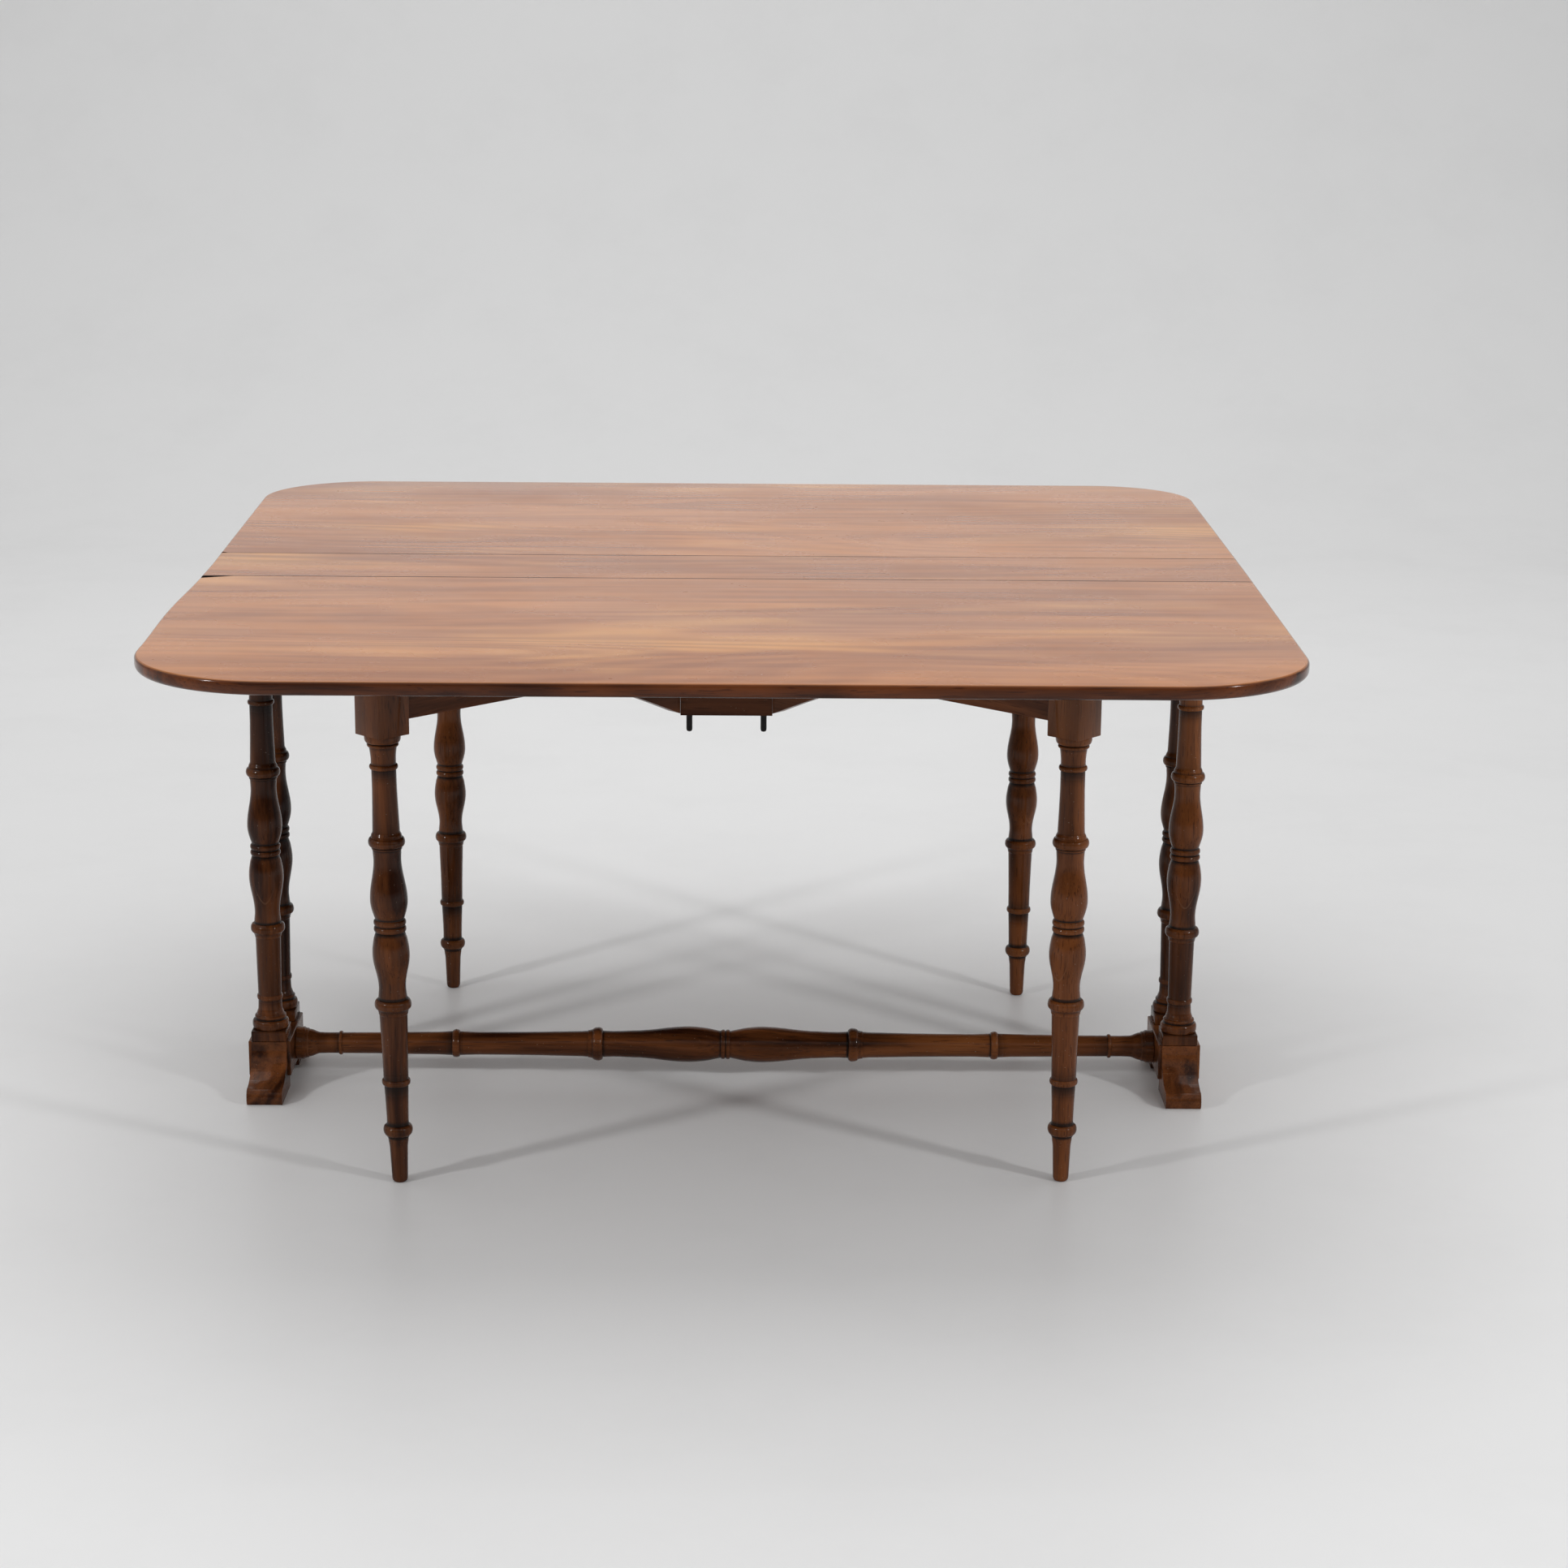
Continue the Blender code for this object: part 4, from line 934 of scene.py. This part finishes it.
class GATELEG_OT_columns(bpy.types.Operator):
    """Build the four turned columns of the end trestles"""

    bl_idname = "gateleg.columns"
    bl_label = "Columns"

    def execute(self, context):
        settings = context.scene.gateleg_turning
        finish = context.scene.gateleg_finish
        for i, (side, end) in enumerate(GATES):
            node = f"column_{side}_{end}"
            x, y = node_axis(node)
            low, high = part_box(node)
            blocks = [square_block("head", settings, HEAD_BOTTOM, high.z),
                      square_block("plinth", settings, low.z, PLINTH_TOP)]
            turned = lathe("turned_" + node, column_profile(), settings.facets)
            mesh = join_blocks("turned_" + node, turned, blocks)
            mark_relief(mesh, column_profile(), HEAD_BOTTOM)
            shift = (0.3 * i, 0.7 * i, 0.0)
            material = polished_wood(f"column_polish_{i + 1}", finish, "turned", "Z", 20.0, 0.13, shift)
            add_piece("turned_" + node, mesh, material, [node],
                      Matrix.Translation((x, y, 0)))
        return {"FINISHED"}


class GATELEG_OT_legs(bpy.types.Operator):
    """Build the four turned legs of the gates"""

    bl_idname = "gateleg.legs"
    bl_label = "Gate legs"

    def execute(self, context):
        settings = context.scene.gateleg_turning
        finish = context.scene.gateleg_finish
        for i, (side, end) in enumerate(GATES):
            node = f"leg_{side}_{end}"
            gate, reach = gate_place(side, end)
            tips = [v.co for v in frame["nodes"][node].data.vertices if v.co.z < 0.02]
            foot = sum(tips, Vector()) / len(tips)
            place = gate @ Matrix.Translation((reach, 0, 0))
            drift = place.inverted() @ Vector((foot.x, foot.y, 0))
            drop = HEAD_BOTTOM - foot.z
            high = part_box(node)[1].z
            mesh = lathe("turned_" + node, leg_profile(), settings.facets)
            lean = Matrix.Identity(4)
            lean[0][2], lean[1][2] = -drift.x / drop, -drift.y / drop
            about = Matrix.Translation((0, 0, HEAD_BOTTOM))
            mesh.transform(about @ lean @ about.inverted())
            mesh = join_blocks("turned_" + node, mesh, [square_block("head", settings, HEAD_BOTTOM, high)])
            mark_relief(mesh, leg_profile(), HEAD_BOTTOM)
            shift = (0.9 + 0.4 * i, 0.5 * i, 0.2)
            material = polished_wood(f"leg_polish_{i + 1}", finish, "turned", "Z", 18.0, 0.14, shift)
            add_piece("turned_" + node, mesh, material, [node], place)
        return {"FINISHED"}


class GATELEG_OT_stretcher(bpy.types.Operator):
    """Build the turned stretcher between the base beams"""

    bl_idname = "gateleg.stretcher"
    bl_label = "Stretcher"

    def execute(self, context):
        settings = context.scene.gateleg_turning
        finish = context.scene.gateleg_finish
        low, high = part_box("stretcher")
        half = stretcher_half(high.x)
        profile = half + [(r, 2 * high.x - z) for r, z in reversed(half[:-1])]
        mesh = smooth(lathe("turned_stretcher", profile, settings.facets), 30)
        place = Matrix.Translation((low.x, 0, (low.z + high.z) / 2)) @ Matrix.Rotation(pi / 2, 4, "Y")
        mark_relief(mesh, profile, 2 * high.x)
        material = polished_wood("stretcher_polish", finish, "turned", "Z", 15.0, 0.17, (0.2, 0.9, 0.0))
        add_piece("turned_stretcher", mesh, material, ["stretcher"], place)
        return {"FINISHED"}


# ------------------------------------------------------------------ pieces: feet and joinery

def foot_outline(toe_y, top, inner_y, under):
    """Side view of a scroll foot pointing along +X: a hollow front that runs out into a round toe."""
    hollow = []
    for i in range(17):
        a = pi / 2 * i / 16
        y = FOOT_FACE_Y + (toe_y - TOE_FLAT - FOOT_FACE_Y) * (1 - cos(a))
        hollow.append((y, top - FOOT_LIP - (top - FOOT_LIP - TOE_TOP) * sin(a)))
    toe = []
    for i in range(1, 12):
        a = radians(90 - 150 * i / 12)
        height = TOE_MIDDLE + (TOE_TOP - TOE_MIDDLE) * sin(a)
        toe.append((toe_y - TOE_RADIUS + TOE_RADIUS * cos(a), max(height, TOE_LOWEST)))
    toe.append((toe_y - TOE_UNDERCUT, 0.0))
    heel = [(FOOT_HEEL_Y, 0.0), (FOOT_HEEL_Y, under), (inner_y, under), (inner_y, top)]
    return [(FOOT_FACE_Y, top)] + hollow + toe + heel


class GATELEG_OT_feet(bpy.types.Operator):
    """Build the four scroll feet"""

    bl_idname = "gateleg.feet"
    bl_label = "Feet"

    def execute(self, context):
        finish = context.scene.gateleg_finish
        for i, (side, end) in enumerate(GATES):
            node = f"foot_{side}_{end}"
            low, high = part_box(node)
            sign = SIDES[side]
            beam_low, beam_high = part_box(f"base_beam_{end}")
            width = high.x - low.x
            outline = foot_outline(max(abs(low.y), abs(high.y)), high.z, beam_high.y + FIT_GAP,
                                   beam_low.z - FIT_GAP)
            turn = Matrix(((0, 0, 1, 0), (sign, 0, 0, 0), (0, 1, 0, 0), (0, 0, 0, 1)))
            mesh = extruded("foot_blank", outline, -width / 2, width / 2, turn)
            mesh = smooth(with_modifiers("shaped_" + node, mesh, [bevel_step(FOOT_BEVEL, 3, 50)]), 35)
            shift = (0.5 * i, 0.3, 0.1)
            material = polished_wood(f"foot_polish_{i + 1}", finish, "shaped", "Y", 22.0, 0.24, shift)
            add_piece("shaped_" + node, mesh, material, [node],
                      Matrix.Translation(((low.x + high.x) / 2, 0, 0)))
        return {"FINISHED"}


def arm_shoulder(side, gate):
    """Where an open arm's square shoulder starts, so that its softened corner just meets the pivot block."""
    pin_x = abs(gate.translation.x)
    block_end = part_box(f"pivot_block_{side}")[1].x
    along = gate.to_3x3() @ Vector((1, 0, 0))
    return (block_end - SHOULDER_SET - pin_x + ARM_THICKNESS / 2 * abs(along.y)) / abs(along.x)


def arm_outline(shoulder, end, low_at_pivot, top):
    """Side view of an arm: deep at its shoulder, with a hollow sweep to a straight underside."""
    drop = ARM_LOW_AT_HEAD - low_at_pivot
    sweep = []
    for i in range(25):
        t = i / 24
        sweep.append((shoulder + (ARM_SWEEP_END - shoulder) * t,
                      low_at_pivot + drop * (0.55 * t + 0.45 * sin(pi / 2 * t))))
    return sweep + [(end, ARM_LOW_AT_HEAD), (end, top), (shoulder, top)]


class GATELEG_OT_arms(bpy.types.Operator):
    """Build the four arms of the gates with their pivot knuckles"""

    bl_idname = "gateleg.arms"
    bl_label = "Gate arms"

    def execute(self, context):
        finish = context.scene.gateleg_finish
        head_half = context.scene.gateleg_turning.head_side / 2
        upright = Matrix(((1, 0, 0, 0), (0, 0, -1, 0), (0, 1, 0, 0), (0, 0, 0, 1)))
        for side, end in GATES:
            node = f"arm_{side}_{end}"
            gate, reach = gate_place(side, end)
            low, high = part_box(node)
            shoulder = arm_shoulder(side, gate)
            outline = arm_outline(shoulder, reach - head_half - FIT_GAP, low.z, high.z)
            blank = extruded("arm_blank", outline, -ARM_THICKNESS / 2, ARM_THICKNESS / 2, upright)
            blank = with_modifiers("arm_blank", blank, [bevel_step(ARM_BEVEL, 2, 50)])
            neck = box_mesh("neck", (0, -NECK_HALF, KNUCKLE_BOTTOM),
                            (shoulder + NECK_OVERLAP, NECK_HALF, KNUCKLE_TOP))
            knuckle = lathe("knuckle", [(KNUCKLE_RADIUS, z) for z in (KNUCKLE_BOTTOM, KNUCKLE_TOP)], 32)
            bore = lathe("bore", [(BORE_RADIUS, z) for z in (KNUCKLE_BOTTOM - 0.02, KNUCKLE_TOP + 0.02)], 32)
            steps = [boolean_step("UNION", neck), boolean_step("UNION", knuckle),
                     boolean_step("DIFFERENCE", bore)]
            mesh = with_modifiers("shaped_" + node, blank, steps)
            material = polished_wood("arm_polish", finish, "joinery", "X", 14.0, 0.26)
            add_piece("shaped_" + node, smooth(mesh, 30), material, [node], gate)
        return {"FINISHED"}


class GATELEG_OT_joinery(bpy.types.Operator):
    """Finish the beams, bearers, rail, pivot blocks and gate stops"""

    bl_idname = "gateleg.joinery"
    bl_label = "Joinery"

    def execute(self, context):
        finish = context.scene.gateleg_finish
        rail = polished_wood("rail_polish", finish, "joinery", "X", 14.0, 0.32)
        across = polished_wood("bearer_polish", finish, "joinery", "Y", 14.0, 0.32)
        beam = polished_wood("beam_polish", finish, "shaped", "Y", 20.0, 0.24)
        dress_node("long_rail", rail, 0.0012)
        for side in SIDES:
            dress_node(f"pivot_block_{side}", rail, 0.0003)
        for end in ENDS:
            dress_node(f"base_beam_{end}", beam)
            dress_node(f"top_bearer_{end}", across)
        for side, end in GATES:
            dress_node(f"gate_stop_{side}_{end}", rail)
        return {"FINISHED"}


class GATELEG_OT_metalwork(bpy.types.Operator):
    """Finish the iron pivot pins and the brass hinges"""

    bl_idname = "gateleg.metalwork"
    bl_label = "Metalwork"

    def execute(self, context):
        finish = context.scene.gateleg_finish
        iron = worn_metal("black_iron_skin", finish.iron, 0.85, 0.34, 1.9)
        brass = worn_metal("hinge_brass_skin", finish.brass, 1.0, 0.36, 0.45)
        for side, end in GATES:
            node = f"pivot_pin_{side}_{end}"
            low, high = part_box(node)
            x, y = node_axis(node)
            radius = (high.x - low.x) / 2
            profile = [(radius * 0.35, low.z), (radius * 0.72, low.z + 0.0006),
                       (radius * 0.92, low.z + 0.0018), (radius, low.z + 0.0038), (radius, high.z)]
            mesh = smooth(lathe("iron_" + node, profile, 32), 40)
            add_piece("iron_" + node, mesh, iron, [node], Matrix.Translation((x, y, 0)))
        for side in SIDES:
            for i in (1, 2, 3):
                for part in ("fixed", "leaf", "pin"):
                    dress_node(f"hinge_{side}_{i}_{part}", brass)
        return {"FINISHED"}


# ------------------------------------------------------------------ stage

def area_light(name, power, size, location, target):
    data = bpy.data.lights.new(name, "AREA")
    data.energy = power
    data.shape = "RECTANGLE"
    data.size, data.size_y = size
    lamp = bpy.data.objects.new(name, data)
    lamp.location = location
    lamp.rotation_euler = (Vector(target) - Vector(location)).to_track_quat("-Z", "Y").to_euler()
    bpy.context.scene.collection.objects.link(lamp)


@made_once
def floor_material(pen, shader, colour):
    """A pale matt floor with faint cloudy scuffs."""
    vector = pen.node("ShaderNodeTexCoord").outputs["Object"]
    scuffs = pen.ramp(pen.noise(vector, 3.0, 5.0, 0.65), 0.40, 0.75)
    pen.feed(shader, Base_Color=pen.mix(scuffs, (*colour, 1.0), (*[c * 0.975 for c in colour], 1.0)),
             Roughness=pen.math("MULTIPLY_ADD", scuffs, 0.03, 0.40), Specular_IOR_Level=0.35)


def backdrop_sections(flat_end, radius, height, front):
    """Side view of the seamless sheet: a level floor that sweeps up into an upright wall."""
    points = [(front, 0.0), (-3.0, 0.0), (0.0, 0.0), (flat_end - 1.0, 0.0)]
    for i in range(33):
        a = pi / 2 * i / 32
        points.append((flat_end + radius * sin(a), radius * (1 - cos(a))))
    return points + [(flat_end + radius, height)]


def studio_world(strength, front_share):
    """Even light from above and behind that fades towards the dark front of the room."""
    world = bpy.data.worlds.new("studio_dome")
    world.use_nodes = True
    pen = NodePen(world.node_tree)
    background = world.node_tree.nodes["Background"]
    direction = pen.node("ShaderNodeTexCoord").outputs["Generated"]
    axes = pen.node("ShaderNodeSeparateXYZ", Vector=direction)
    backwards = pen.math("MULTIPLY_ADD", axes.outputs["Z"], 2.4, axes.outputs["Y"])
    shade = pen.ramp(backwards, -0.70, 0.70, front_share, 1.0)
    pen.link(pen.mix(shade, (0.0, 0.0, 0.0, 1.0), (1.0, 1.0, 1.0, 1.0)), background.inputs["Color"])
    background.inputs["Strength"].default_value = strength
    return world


class GATELEG_OT_stage(bpy.types.Operator):
    """Set up the seamless floor, soft studio light and camera"""

    bl_idname = "gateleg.stage"
    bl_label = "Stage"

    def execute(self, context):
        settings = context.scene.gateleg_stage
        sections = backdrop_sections(4.2, 2.6, 9.0, -14.0)
        rows = [[(x, y, z) for y, z in sections] for x in (-16.0, 16.0)]
        verts = rows[0] + rows[1]
        n = len(sections)
        mesh = bpy.data.meshes.new("backdrop")
        mesh.from_pydata(verts, [], [(i, i + 1, n + i + 1, n + i) for i in range(n - 1)])
        mesh.shade_smooth()
        mesh.materials.append(floor_material("studio_floor", settings.floor))
        floor = bpy.data.objects.new("backdrop", mesh)
        context.scene.collection.objects.link(floor)
        context.scene.world = studio_world(settings.dome, settings.front_share)
        area_light("overhead_softbox", settings.overhead, (5.0, 4.5), (0.0, 1.2, 4.8), (0.0, 0.3, 0.0))
        area_light("backdrop_softbox", settings.backdrop, (6.0, 1.0), (0.0, 2.6, 5.2), (0.0, 6.8, 1.2))
        area_light("left_softbox", settings.side, (0.28, 0.55), (-3.2, -2.4, 2.1), (0.0, 0.0, 0.4))
        area_light("right_softbox", settings.side, (0.28, 0.55), (3.2, -2.4, 2.1), (0.0, 0.0, 0.4))
        camera_data = bpy.data.cameras.new("camera")
        camera_data.lens = settings.focal_length
        camera_data.sensor_width = 36.0
        camera = bpy.data.objects.new("camera", camera_data)
        turn = Matrix.Identity(4)
        for degrees, axis in ((CAMERA_TURN_Z, "Z"), (CAMERA_TILT, "X"), (CAMERA_ROLL, "Z")):
            turn = turn @ Matrix.Rotation(radians(degrees), 4, axis)
        camera.matrix_world = Matrix.Translation(CAMERA_PLACE) @ turn
        context.scene.collection.objects.link(camera)
        context.scene.camera = camera
        context.scene.view_settings.view_transform = "Standard"
        return {"FINISHED"}


class GATELEG_PT_panel(bpy.types.Panel):
    """Lists the steps that build the table"""

    bl_label = "Gateleg Table"
    bl_idname = "GATELEG_PT_panel"
    bl_space_type = "VIEW_3D"
    bl_region_type = "UI"
    bl_category = "Gateleg Table"

    def draw(self, context):
        for operator in OPERATORS:
            self.layout.operator(operator.bl_idname)
        for name in SETTINGS:
            box = self.layout.box()
            for key in getattr(context.scene, name).__annotations__:
                box.prop(getattr(context.scene, name), key)


OPERATORS = [GATELEG_OT_top, GATELEG_OT_columns, GATELEG_OT_legs, GATELEG_OT_stretcher, GATELEG_OT_feet,
             GATELEG_OT_arms, GATELEG_OT_joinery, GATELEG_OT_metalwork, GATELEG_OT_stage]
SETTINGS = {"gateleg_top": GatelegTopSettings, "gateleg_turning": GatelegTurningSettings,
            "gateleg_finish": GatelegFinishSettings, "gateleg_stage": GatelegStageSettings}


def register():
    for group in SETTINGS.values():
        bpy.utils.register_class(group)
    for name, group in SETTINGS.items():
        setattr(bpy.types.Scene, name, PointerProperty(type=group))
    for item in OPERATORS + [GATELEG_PT_panel]:
        bpy.utils.register_class(item)


def unregister():
    for item in reversed(OPERATORS + [GATELEG_PT_panel]):
        bpy.utils.unregister_class(item)
    for name in SETTINGS:
        delattr(bpy.types.Scene, name)
    for group in reversed(list(SETTINGS.values())):
        bpy.utils.unregister_class(group)


def main():
    register()
    bpy.ops.gateleg.top()
    bpy.ops.gateleg.columns()
    bpy.ops.gateleg.legs()
    bpy.ops.gateleg.stretcher()
    bpy.ops.gateleg.feet()
    bpy.ops.gateleg.arms()
    bpy.ops.gateleg.joinery()
    bpy.ops.gateleg.metalwork()
    bpy.ops.gateleg.stage()


if __name__ == "__main__":
    main()
